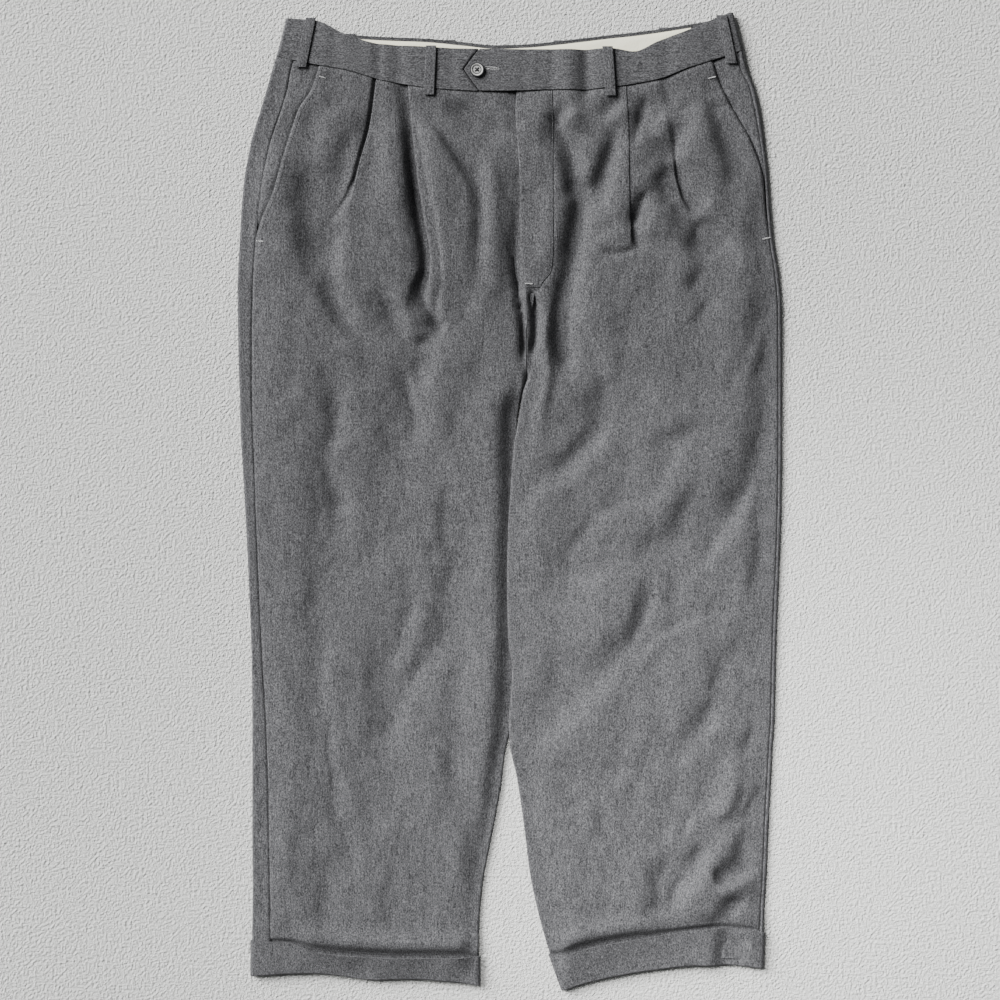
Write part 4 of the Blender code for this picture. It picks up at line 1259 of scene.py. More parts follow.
@dataclass(frozen=True)
class Wool:
    """Heathered worsted wool: fine upright flecks of dark and light yarn."""

    name: str = "wool"
    dark: Triple = (0.004, 0.004, 0.005)
    light: Triple = (0.20, 0.20, 0.208)
    middle: float = 0.585
    evenness: float = 1.8
    fleck_share: float = 1.25
    streak_share: float = 0.3
    mottle_share: float = 0.08
    fleck_repeat: float = 980.0
    streak_repeat: float = 800.0
    twill_repeat: float = 560.0
    grain: tuple[float, float] = (1.0, 0.55)

    def make(self) -> Material:
        """The cloth's material.

        Returns:
            The material.
        """
        graph = Graph(self.name)
        across, along = self.grain
        fleck, streak = self.fleck_repeat, self.streak_repeat
        flecks = graph.noise((fleck * across, fleck * along, fleck), 1.0, 0.6)
        streaks = graph.noise((streak * across**4, streak * along**4, streak), 0.0)
        mottle = graph.noise((95.0, 60.0, 95.0), 3.0, 0.6)
        share = (self.middle + (flecks - 0.5) * self.fleck_share + (streaks - 0.5) * self.streak_share
                 + (mottle - 0.5) * self.mottle_share)
        graph.colour(share.clamp() ** self.evenness, self.dark, self.light)
        graph.bump(flecks * 0.5 + streaks * 0.3 + graph.bands(self.twill_repeat) * 0.2, 0.0003)
        graph.set(Roughness=0.88, Sheen_Weight=0.04, Sheen_Roughness=0.5, Specular_IOR_Level=0.12)
        return graph.material


@dataclass(frozen=True)
class LiningCotton:
    """Cream cotton of the waistband's inside."""

    name: str = "lining"
    dark: Triple = (0.98, 0.93, 0.70)
    light: Triple = (1.0, 0.99, 0.80)

    def make(self) -> Material:
        """The lining's material.

        Returns:
            The material.
        """
        graph = Graph(self.name)
        weave = graph.noise((900.0, 700.0, 900.0), 2.0)
        stain = graph.noise((40.0, 60.0, 40.0), 3.0)
        graph.colour((weave * 0.5 + stain * 0.8 - 0.15).clamp(), self.dark, self.light)
        graph.bump(weave + stain * 2.0, 0.0003)
        graph.set(Roughness=0.85, Specular_IOR_Level=0.3)
        return graph.material


@dataclass(frozen=True)
class HornPlastic:
    """Dark grey button plastic with faint cloudy streaks, and painted light and shade in rings round its
    middle.
    """

    name: str = "button"
    dark: Triple = (0.02, 0.02, 0.022)
    light: Triple = (0.62, 0.62, 0.60)
    # Rings of painted light and shade, as radius and width in millimetres and strength: the highlight on the
    # rim, the shade in the groove, the reflection in the dish and the shadow round the edge.
    painted_light_rings: tuple[Triple, ...] = (
        (5.7, 0.9, 0.8), (4.6, 0.5, -0.8), (2.4, 2.2, 0.42), (7.2, 0.8, -0.8),
    )

    def make(self) -> Material:
        """The button's material: a painted highlight on the rim, a painted reflection in the dish, painted
        shade in the groove between and a painted shadow round the edge.

        Returns:
            The material.
        """
        graph = Graph(self.name)
        cloud = graph.noise((160.0, 420.0, 160.0), 3.0, 0.6)
        low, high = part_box("button")
        middle = (-(low[0] + high[0]) / 2, -(low[1] + high[1]) / 2, 0.0)
        share = (cloud - 0.5) * 1.1 + 0.22
        # Lays the painted highlight, reflection, shade and shadow on the cloudy plastic, ring by ring.
        for radius, width, strength in self.painted_light_rings:
            share = share + graph.ring(middle, radius * MM, width * MM) * strength
        graph.colour(share.clamp(), self.dark, self.light)
        graph.bump(cloud, 0.00006)
        graph.set(Roughness=0.32, Specular_IOR_Level=0.5)
        return graph.material


@dataclass(frozen=True)
class Yarn:
    """Sewing thread in one shade."""

    name: str
    colour: Triple
    shade: float = 0.72
    repeat: float = 2600.0

    def make(self) -> Material:
        """The thread's material.

        Returns:
            The material.
        """
        graph = Graph(self.name)
        twist = graph.noise((self.repeat,) * 3, 1.0)
        darker = tuple(channel * self.shade for channel in self.colour)
        graph.colour(twist, darker, self.colour)
        graph.bump(twist, 0.0001)
        graph.set(Roughness=0.6, Sheen_Weight=0.1)
        return graph.material


@dataclass(frozen=True)
class PaleFloor:
    """Plain pale matt surface under the trousers."""

    name: str = "floor"
    dark: Triple = (0.62, 0.62, 0.595)
    light: Triple = (1.0, 1.0, 0.975)
    repeat: float = 330.0

    def make(self) -> Material:
        """The floor's material.

        Returns:
            The material.
        """
        graph = Graph(self.name)
        nap = graph.noise((self.repeat,) * 3, 3.0, 0.6)
        graph.colour(nap, self.dark, self.light)
        graph.bump(nap, 0.008, 0.8)
        graph.set(Roughness=0.95, Specular_IOR_Level=0.2)
        return graph.material


@dataclass(frozen=True)
class Finishes:
    """The materials of the trousers."""

    wool: Material
    band_wool: Material
    lining: Material
    button: Material
    grey_yarn: Material
    pale_yarn: Material
    dark_yarn: Material

    @classmethod
    def make(cls) -> "Finishes":
        """Makes each material once.

        Returns:
            All of them.
        """
        return cls(
            Wool().make(),
            Wool("band wool", grain=(0.55, 1.0)).make(),
            LiningCotton().make(),
            HornPlastic().make(),
            Yarn("grey yarn", (0.11, 0.11, 0.118)).make(),
            Yarn("pale yarn", (0.72, 0.72, 0.72)).make(),
            Yarn("dark yarn", (0.02, 0.02, 0.022)).make(),
        )


# --- Legs ---


@dataclass
class Front:
    """One front panel, with its two pleats, from the pocket edge to the inseam."""

    side: Side
    row_step: float = 3.2
    fine_from: float = 976.0
    fine_step: float = 1.8
    hinge_steps: int = 12
    bend_steps: int = 7
    rolled_edge: float = 2.4
    facing_lap: float = 14.0
    pocket_roll: Ramp = Ramp(2.2, 0.0, 1.2)
    pocket_lift: Ramp = Ramp(30.0, 2.0, 0.5)
    pocket_slant: Ramp = Ramp(256.0, 206.0)
    under_band: Ramp = Ramp(3.2, -2.0, 2.2)
    mouth_lift: float = 5.5
    mouth_place: float = 15.0
    mouth_run: float = 10.0
    dive_begins: tuple[float, float] = (4.5, 6.0)
    dive_ends: tuple[float, float] = (0.5, -2.5)
    dive_least: float = 5.0
    inside_cuff: Ramp = Ramp(-16.0, -6.0)
    fly_sink: float = 1.2
    below_fly: Ramp = Ramp(8.0, 2.0, LAID.cloth + LAID.seam_gap)
    below_fly_edge: Ramp = Ramp(26.0, 12.0)
    lap: Ramp = Ramp(372.0, 330.0, LAID.cloth + 4 * LAID.seam_gap)
    lap_edge: Ramp = Ramp(13.0, 3.0)
    lap_line: Ramp = Ramp(345.0, 320.0, 1.6)
    lap_line_edge: Ramp = Ramp(3.2, 0.4)
    columns: list[tuple[Place, float]] = field(default_factory=list)

    def rows(self) -> Array:
        """The panel's rows, of which the first run under the waistband.

        Returns:
            Distances down.
        """
        under_band = LAID.first_row - np.array((3.0, 2.0, 1.0))
        leg = np.arange(LAID.first_row, self.fine_from, self.row_step)
        hem = np.arange(self.fine_from, LAID.last_row + 1.0, self.fine_step)
        return np.concatenate([under_band, leg, hem])

    def dip(self, out: Array, down: Array, pleats: Sequence[int] = (0, 1)) -> Array:
        """How far the cloth sinks here to pass under these pleats."""
        return sum((PLEATS[self.side][number].dip(out, down) for number in pleats), np.zeros(out.shape))

    def straight(self, start: Line, end: Line, count: int, dips: Sequence[int], first: int = 1) -> None:
        """Adds columns between two lines.

        Args:
            start: The first line.
            end: The last line.
            count: Number of steps between them.
            dips: The pleats that the cloth passes under here.
            first: 0 to have a column on the first line too.
        """
        def place(share: float, down: Array) -> Pair:
            """A point between the lines."""
            out = start(down) + (end(down) - start(down)) * share
            return out, -self.dip(out, down, dips)

        self.columns += [(partial(place, i / count), Layer.FRONT) for i in range(first, count + 1)]

    def pleated(self, number: int, dips: Sequence[int]) -> None:
        """Adds the columns of a pleat's two bends and hidden run.

        Args:
            number: The pleat.
            dips: The other pleats that it passes under.
        """
        pleat = PLEATS[self.side][number]

        def place(part: PleatPart, share: float, down: Array) -> Pair:
            """A point of the folded cloth."""
            across, up = pleat.point(part, share, down)
            out = pleat.read("out", down) - across
            return out, up - self.dip(out, down, dips)

        for part in PleatPart:
            count = 2 if part is PleatPart.RUN else self.bend_steps
            self.columns += [(partial(place, part, i / count), Layer.FRONT) for i in range(1, count + 1)]

    def hinge(self, share: float, down: Array) -> Pair:
        """A point of the inner edge, level at the fly and turned right under on the leg.

        Args:
            share: How far along the turned edge, from the top.
            down: Distances down.

        Returns:
            Distances out and heights over the top layer.
        """
        turn = LAID.leg_share(down) * math.pi
        bend = math.pi * LAID.inner_radius
        length = bend + LAID.hinge_run
        arc = min(share * length, bend)
        across, drop = turned(np.full(down.shape, bend), turn, arc / bend)
        run = share * length - arc
        across, drop = across + run * np.cos(turn), drop + run * np.sin(turn)
        whole_reach = turned(np.full(down.shape, bend), turn, 1.0)[0] + LAID.hinge_run * np.cos(turn)
        reach = np.where(turn > math.pi / 2, bend / np.maximum(turn, LEAST_TURN), whole_reach)
        half = LAID.cloth / 2 * LAID.leg_share(down) + LAID.seam_gap / 2
        inner = LAID.leg(self.side, "inner", down)
        return inner + half + reach - across - LAID.fly_lap(self.side, down), -drop

    def hinge_start(self, down: Array) -> Array:
        """Where the panel begins to turn under."""
        return self.hinge(0.0, down)[0]

    def pocket_line(self, inside: float, down: Array) -> Array:
        """The folded edge of the pocket's mouth, or a line this far inside it."""
        return LAID.leg(self.side, "front_edge", down) - LAID.seam_gap / 2 - inside

    def fly_line(self, outside: float, down: Array) -> Array:
        """The fly's J seam, or a line this far outside it."""
        return LAID.fly_seam(self.side, down) + outside

    def pleat_line(self, number: int, down: Array) -> Array:
        """A pleat's visible fold."""
        return PLEATS[self.side][number].read("out", down)

    def pleat_start(self, number: int, down: Array) -> Array:
        """Where the cloth that comes from outside bends into a pleat."""
        return self.pleat_line(number, down) - PLEATS[self.side][number].start(down)[0]

    def beside_pleat(self, number: int, distance: float, down: Array) -> Array:
        """A line this far outside the whole of a pleat."""
        return np.maximum(self.pleat_start(number, down), self.pleat_line(number, down)) + distance

    def lay_columns(self) -> None:
        """Sets the panel's columns, from the pocket edge to the inner edge."""
        rolled = partial(self.pocket_line, self.rolled_edge)
        lapped = partial(self.pocket_line, self.facing_lap)
        fly_edge, fly_seam = partial(self.fly_line, self.fly_sink), partial(self.fly_line, 0.0)
        outer, inner = partial(self.pleat_line, 0), partial(self.pleat_line, 1)
        self.columns.clear()
        self.straight(partial(self.pocket_line, 0.0), rolled, 4, (0, 1), 0)
        self.straight(rolled, lapped, 4, (0, 1))
        for number, dips, start, count in ((0, (0, 1), lapped, 13), (1, (1,), outer, 10)):
            pleat = PLEATS[self.side][number]
            far = partial(self.beside_pleat, number, pleat.dip_run)
            near = partial(self.beside_pleat, number, pleat.dip_end)
            self.straight(start, far, count, dips)
            self.straight(far, near, 6, dips)
            self.straight(near, partial(self.pleat_start, number), 2, dips)
            self.pleated(number, dips[1:])
        self.straight(inner, fly_edge, 22, ())
        self.straight(fly_edge, fly_seam, 2, ())
        self.straight(fly_seam, self.hinge_start, 12, ())
        for i in range(1, self.hinge_steps + 1):
            self.columns.append((partial(self.hinge, i / self.hinge_steps), Layer.FRONT))

    def height(self, out: Array, down: Array) -> Array:
        """Top layer, with its edges turned down and its two laps at the fly.

        Args:
            out: Distances out.
            down: Distances down.

        Returns:
            Heights of the cloth's mid surface over the resting plane.
        """
        side = self.side
        height = LAID.top(side, out, down)
        from_pocket = LAID.leg(side, "front_edge", down) - out
        height += self.pocket_slant.at(down) * self.pocket_lift.at(from_pocket)
        height -= self.pocket_roll.at(from_pocket)
        height -= self.under_band.at(down - LAID.waist_seam(side.value * out, Layer.FRONT))
        above_cuff = CUFFS[side].read("cuff_top", out) - down
        gape = LAID.gape(side, out)
        height += self.mouth_lift * gape * np.exp(-(((above_cuff - self.mouth_place) / self.mouth_run) ** 2))
        dive_begins, dive_ends = (least + more * gape for least, more in (self.dive_begins, self.dive_ends))
        dive = smooth(dive_begins, dive_ends, above_cuff) * self.inside_cuff.at(above_cuff)
        room = height - LAID.under(side, out, down) - LAID.cloth - LAID.seam_gap
        height -= dive * np.clip(room, 0.0, self.dive_least + LAID.gape_depth * gape)
        below_fly = self.below_fly.at(down - LAID.fly_end)
        if side is Side.LEFT:
            seam = LAID.fly_seam(side, down)
            return height - below_fly * smooth(seam + self.fly_sink, seam, out)
        from_fly = out - LAID.leg(side, "inner", down)
        height -= self.lap_line.at(down) * self.lap_line_edge.at(from_fly)
        height -= self.lap.at(down) * self.lap_edge.at(from_fly)
        return height - below_fly * self.below_fly_edge.at(from_fly)

    def grid(self) -> Array:
        """Rows by columns of points (x, down, height)."""
        self.lay_columns()
        out, down, offset = LAID.strips(self.side, self.columns, self.rows())
        return laid(self.side, out, down, np.maximum(self.height(out, down) + offset, LAID.lowest))

    def build(self, finishes: Finishes) -> Array:
        """Makes the panel.

        Args:
            finishes: The materials.

        Returns:
            The panel's grid, from which the fly is made.
        """
        points, name = self.grid(), f"front_{self.side.word}"
        panel = sheet(f"{name}_cloth", points, LAID.cloth)
        finish_piece(panel, "wool", finishes.wool, name)
        return points


@dataclass
class Fly:
    """The fly's facing on the left front, flush with it, and rounded at its free edge."""

    columns: int = 15
    edge_columns: float = 12.0
    edge_drop: float = 0.7
    end_drop: Ramp = Ramp(-3.0, 0.0, 0.6)

    def build(self, finishes: Finishes, front: Array) -> None:
        """Makes the fly from the left front's grid.

        Args:
            finishes: The materials.
            front: The left front's points.
        """
        rows = np.arange(len(front)) < np.argmax(front[:, -1, 1] > LAID.fly_end)
        strip = front[rows][:, -(Front.hinge_steps + self.columns):]
        lifted = strip + normals_of(strip) * (LAID.cloth + LAID.seam_gap)
        edge = smooth(0.0, 1.0, np.linspace(1.0, 0.0, lifted.shape[1]) * self.edge_columns)
        lifted[..., 2] -= self.edge_drop * (1 - edge)
        lifted[..., 2] -= self.end_drop.at(lifted[..., 1] - LAID.fly_end)
        piece = sheet("fly_cloth", lifted, LAID.cloth)
        finish_piece(piece, "wool", finishes.wool, "fly")


@dataclass
class Back:
    """One back panel: the strip on top beside the seam, the round side edge and the underside."""

    side: Side
    row_step: float = 3.6
    top_shares: tuple[float, ...] = (0.0, 0.035, 0.075, 0.12, 0.2, 0.35, 0.55, 0.78, 1.0)
    round_steps: int = 12
    under_steps: int = 30
    seam_roll: Ramp = Ramp(2.2, 0.0, 1.2)
    to_inseam: Ramp = Ramp(372.0, 398.0)

    def edge(self, down: Array) -> Array:
        """Where the level cloth on top turns into the round side edge."""
        return LAID.leg(self.side, "out_edge", down) - LAID.cloth / 2 - LOFT.read("radius", down)

    def inner(self, down: Array) -> Array:
        """Where the underside ends, at the middle seam or at the inseam."""
        gap = LAID.seam_gap
        hinge = LAID.cloth / 2 + LAID.inner_radius + LAID.hinge_run + 1.5 * gap
        return LAID.leg(self.side, "inner", down) + gap / 2 + hinge * self.to_inseam.at(down)

    def top_place(self, share: float, down: Array) -> Pair:
        """A point of the strip on top.

        Args:
            share: How far from the seam outwards.
            down: Distances down.

        Returns:
            Distances out and heights.
        """
        start = LAID.leg(self.side, "seam", down) + LAID.seam_gap / 2
        out = start + (np.maximum(self.edge(down), start + LAID.seam_gap) - start) * share
        return out, LAID.top(self.side, out, down) - self.seam_roll.at(out - start)

    def round_place(self, angle: float, down: Array) -> Pair:
        """A point of the round side edge.

        Args:
            angle: Over the level, from the edge's own middle.
            down: Distances down.

        Returns:
            Distances out and heights.
        """
        start, high = self.top_place(1.0, down)
        low = LAID.under(self.side, self.edge(down), down)
        end = start if angle > 0 else self.edge(down)
        reach = LAID.leg(self.side, "out_edge", down) - LAID.cloth / 2 - end
        return end + math.cos(angle) * reach, (high + low + math.sin(angle) * (high - low)) / 2

    def under_place(self, share: float, down: Array) -> Pair:
        """A point of the underside, from the side edge inwards."""
        out = self.edge(down) + (self.inner(down) - self.edge(down)) * share
        return out, LAID.under(self.side, out, down)

    def grid(self) -> Array:
        """The panel's points.

        Returns:
            Rows by columns of points (x, down, height).
        """
        places = [(partial(self.top_place, share), Layer.FRONT) for share in self.top_shares]
        for angle in np.radians(np.linspace(80, -90, self.round_steps)):
            places.append((partial(self.round_place, angle), (1 - math.sin(angle)) / 2))
        for share in np.linspace(0.0, 1.0, self.under_steps)[1:]:
            places.append((partial(self.under_place, share), Layer.BACK))
        count = int((LAID.last_row - LAID.first_row) / self.row_step)
        rows = np.linspace(LAID.first_row, LAID.last_row, count)
        return laid(self.side, *LAID.strips(self.side, places, rows))

    def build(self, finishes: Finishes) -> None:
        """Makes the panel.

        Args:
            finishes: The materials.
        """
        name = f"back_{self.side.word}"
        panel = sheet(f"{name}_cloth", self.grid(), LAID.cloth)
        finish_piece(panel, "wool", finishes.wool, name)


@dataclass
class PocketFacing:
    """The strip of cloth that shows in a slant pocket's mouth."""

    side: Side
    lap: float = 13.0
    sink: float = 2.0
    last_row: float = 236.0
    row_count: int = 50
    shares: tuple[float, ...] = (
        0.0, 0.025, 0.05, 0.1, 0.16, 0.25, 0.35, 0.45, 0.52, 0.58, 0.64, 0.7, 0.76, 0.82, 0.9, 1.0,
    )
    open_mouth: Ramp = Ramp(2.0, 8.0)
    seam_roll: Ramp = Ramp(2.2, 0.0, 1.2)
    under_front: Ramp = Ramp(3.5, 0.0, 1.6)
    under_band: Ramp = Ramp(3.2, -2.0, 2.0)

    def place(self, share: float, down: Array) -> Pair:
        """A point of the strip in plan, from the side seam to its hidden end."""
        start = LAID.leg(self.side, "seam", down) - LAID.seam_gap / 2
        end = LAID.leg(self.side, "front_edge", down) - self.lap
        return start + (end - start) * share, np.zeros(down.shape)

    def grid(self) -> Array:
        """Rows by columns of points, level at the side seam and sunk under the front.

        Returns:
            Rows by columns of points (x, down, height).
        """
        side, places = self.side, [(partial(self.place, share), Layer.FRONT) for share in self.shares]
        rows = np.linspace(LAID.first_row - 3.0, self.last_row, self.row_count)
        out, down, _ = LAID.strips(side, places, rows)
        seam, front_edge = LAID.leg(side, "seam", down), LAID.leg(side, "front_edge", down)
        level = smooth(front_edge + 0.5, seam + 1.0, out) * self.open_mouth.at(seam - front_edge)
        height = LAID.top(side, out, down) - self.sink * (1 - level)
        height -= self.seam_roll.at(seam - out) * level
        height -= self.under_front.at(out - front_edge) * (1 - level)
        height -= self.under_band.at(down - LAID.waist_seam(side.value * out, Layer.FRONT))
        return laid(side, out, down, height)

    def build(self, finishes: Finishes) -> None:
        """Makes the facing.

        Args:
            finishes: The materials.
        """
        name = f"pocket_facing_{self.side.word}"
        facing = sheet(f"{name}_cloth", self.grid(), LAID.cloth)
        finish_piece(facing, "wool", finishes.wool, name)


# --- Waist ---


@dataclass
class Waistband:
    """Both halves of the waistband, the pointed tab, and the cream lining inside the back."""

    thickness: float = 2.4
    back_height: float = 2.5
    back_curl: Ramp = Ramp(0.075, 0.0, 1.0)
    curl_begins: Ramp = Ramp(0.0, 0.1)
    plump: float = 0.35
    side_slope: float = 0.25
    tab_point: float = 17.0
    band_end: tuple[float, float] = (6.0, -32.0)
    left_lift: Ramp = Ramp(45.0, 12.0, 1.4)
    right_lift: Ramp = Ramp(-22.0, -3.0, 0.7)
    tab_groove: Ramp = Ramp(-2.4, -1.2, 2.8)
    side_angles: tuple[int, ...] = (70, 45, 20, 0, -20, -45, -70)
    edge_width: float = 1.1
    lining_ends: tuple[float, float] = (-186.0, 196.0)
    lining_insets: tuple[float, ...] = (4.2, 5.0, 7.0, 10.0, 14.0, 20.0, 30.0, 38.0)
    lining_ripple: float = 0.35
    lining_tuck: Ramp = Ramp(7.0, 4.2, 0.5)

    def tab_edge(self, shares: Array) -> Array:
        """The x of the tab's free edge, by the share of the band's depth."""
        return self.band_end[1] - self.tab_point * (1 - np.abs(2 * shares - 1)) ** 0.9

    def height(self, side: Side, x: Array, shares: Array | float = 0.5) -> Array:
        """Mid surface of the front layer, the left half over the right behind the button.

        Args:
            side: The half.
            x: Places across.
            shares: Of the band's depth, from its top.

        Returns:
            Heights over the resting plane.
        """
        if side is Side.LEFT:
            return LAID.band(x) + self.left_lift.at(x)
        from_tab = x - self.tab_edge(shares)
        return LAID.band(x) + self.right_lift.at(from_tab) - self.tab_groove.at(from_tab)

    def side_edge(self, side: Side, down: Array) -> Array:
        """Mid surface of the band's round side edge, which leans in above the leg's first row."""
        top_row = LEGS[side].rows[0][0]
        lean = self.side_slope * (top_row - np.minimum(down, top_row))
        return LAID.leg(side, "out_edge", down) - lean - self.thickness / 2

    def line(self, side: Side, shares: Array, out_at: Line, height: Array | None, layer: float) -> Array:
        """Points across the band's depth.

        Args:
            side: The half.
            shares: Of the band's depth, from its top.
            out_at: Distances out, by the distance down.
            height: Of the points; with none they lie as the front does.
            layer: From the front's at 0 to the back's at 1.

        Returns:
            Points (x, down, height).
        """
        down = LAID.waist_seam(0.0, layer) - LAID.band_depth * (1 - shares)
        for _ in range(4):
            x = side.value * out_at(down)
            top = WAIST.read("top", x) * (1 - layer) + WAIST.read("back_top", x) * layer
            down = top + (LAID.waist_seam(x, layer) - top) * shares
        if height is None:
            height = self.height(side, x, shares) - self.plump * (2 * shares - 1) ** 4
        return np.stack([x, down, np.broadcast_to(height, x.shape)], axis=-1)

    def grid(self, side: Side) -> Array:
        """Points of one half, from the fly round the side to the centre back.

        Args:
            side: The half.

        Returns:
            Rows by columns of points (x, down, height).
        """
        shares = np.concatenate([[0.0, 0.02, 0.06], np.linspace(0.1, 0.9, 21), [0.94, 0.98, 1.0]])
        low = self.back_height
        radius = (LAID.band_height - low) / 2
        middle = LAID.leg(side, "inner", np.array(LAID.first_row)) + LAID.seam_gap / 2
        start = self.tab_edge(shares) if side is Side.LEFT else np.full(shares.shape, self.band_end[0])
        near_tab = np.linspace(0.095, 0.21, 44 if side is Side.RIGHT else 0)
        across = np.unique(np.concatenate([[0.0, 0.004, 0.012], np.linspace(0.02, 1.0, 70), near_tab]))

        def front(share: float, down: Array) -> Array:
            """A column of the front layer."""
            return start + (self.side_edge(side, down) - radius - start) * share

        def bend(angle: float, down: Array) -> Array:
            """A column of the round side edge."""
            return self.side_edge(side, down) - radius * (1 - math.cos(angle))

        def back(share: float, down: Array) -> Array:
            """A column of the back layer."""
            return (self.side_edge(side, down) - radius) * (1 - share) + middle * share

        columns = [self.line(side, shares, partial(front, share), None, Layer.FRONT) for share in across]
        for angle in np.radians(self.side_angles):
            height, layer = low + radius * (1 + math.sin(angle)), (1 - math.sin(angle)) / 2
            columns.append(self.line(side, shares, partial(bend, angle), height, layer))
        for share in np.linspace(0.0, 1.0, 30):
            height = low + self.back_curl.at(shares) * self.curl_begins.at(share)
            columns.append(self.line(side, shares, partial(back, share), height, Layer.BACK))
        return np.stack(columns, axis=1)

    def build(self, finishes: Finishes) -> None:
        """Makes both halves and the lining.

        Args:
            finishes: The materials.
        """
        for side in Side:
            name = f"waistband_{side.word}"
            band = sheet(f"{name}_cloth", self.grid(side), self.thickness)
            round_edges(band, self.edge_width, 3, sharp=60, shade=50)
            finish_piece(band, "wool", finishes.band_wool, name)
        self.build_lining(finishes)

    def build_lining(self, finishes: Finishes) -> None:
        """Makes the lining that shows between the front's top edge and the back's.

        Args:
            finishes: The materials.
        """
        x = np.linspace(*self.lining_ends, 160)
        low = self.back_height + (self.thickness + 1.0) / 2 + LAID.seam_gap
        rows = []
        for inset in self.lining_insets:
            ripple = self.lining_ripple * np.sin(x / 9.0 + inset / 4.0) * np.sin(x / 23.0)
            height = np.full(x.shape, low) + ripple * smooth(4.2, 10.0, inset) - self.lining_tuck.at(inset)
            rows.append(np.stack([x, WAIST.read("back_top", x) + inset, height], axis=-1))
        lining = sheet("waistband_lining_cloth", np.stack(rows), 0.8)
        finish_piece(lining, "lining", finishes.lining, "waistband_lining")


@dataclass
class BeltLoops:
    """Eight belt loops: four on the front and sides, four on the back."""

    width: float = 11.0
    length: float = 53.0
    thickness: float = 1.6
    back_thickness: float = 1.0
    back_height: float = 0.9
    past_edge: float = 1.5
    rise: float = 0.9
    round_off: float = 0.35
    across: tuple[float, ...] = (-1.0, -0.94, -0.8, -0.5, 0.0, 0.5, 0.8, 0.94, 1.0)
    steps: int = 24
    front: tuple[tuple[tuple[float, float], tuple[float, float]], ...] = (
        ((-214, 7), (-225, 60)),
        ((-84.5, 37), (-87, 90)),
        ((105.5, 38), (109, 91)),
        ((228.5, 4), (239.5, 56)),
    )
    back: tuple[float, ...] = (-172.0, -64.0, 53.0, 167.0)

    def build(self, finishes: Finishes) -> None:
        """Makes the loops.

        Args:
            finishes: The materials.
        """
        shares = np.linspace(0.0, 1.0, self.steps)
        for number, ((x0, down0), (x1, down1)) in enumerate(self.front, 1):
            x, down = x0 + (x1 - x0) * shares, down0 + (down1 - down0) * shares
            height = LAID.band(x) + 1.2 + LAID.seam_gap + self.thickness / 2
            height = height + self.rise * np.sin(np.pi * shares) ** 0.7
            half = Side.LEFT if x0 > 0 else Side.RIGHT
            under = f"waistband_{half.word}_cloth"
            self.finish(number, (x, down, height), self.thickness, finishes, under)
        for number, middle in enumerate(self.back, len(self.front) + 1):
            down = WAIST.read("back_top", np.array(middle)) - self.past_edge + self.length * shares
            x, height = np.full(shares.shape, middle), np.full(shares.shape, self.back_height)
            self.finish(number, (x, down, height), self.back_thickness, finishes, "floor")

    def finish(
        self, number: int, line: tuple[Array, Array, Array], thickness: float, finishes: Finishes, under: str,
    ) -> None:
        """Makes one loop and dresses it.

        Args:
            number: The loop.
            line: Its middle line: x, distances down and heights.
            thickness: Of its cloth.
            finishes: The materials.
            under: What it rests on; not used.
        """
        x, down, height = line
        columns = []
        for place in self.across:
            lower = self.round_off * place**4
            columns.append(np.stack([x + place * self.width / 2, down, height - lower], axis=-1))
        loop = sheet(f"belt_loop_{number}_cloth", np.stack(columns, axis=1), thickness)
        round_edges(loop, 0.4, 2, sharp=60, shade=50)
        finish_piece(loop, "wool", finishes.wool, f"belt_loop_{number}")


# --- Turn-ups ---


class Part(Enum):
    """Where on the ring round a leg's hem a column stands."""

    UNDER = 0
    OUTER = 1
    TOP = 2
    INNER = 3


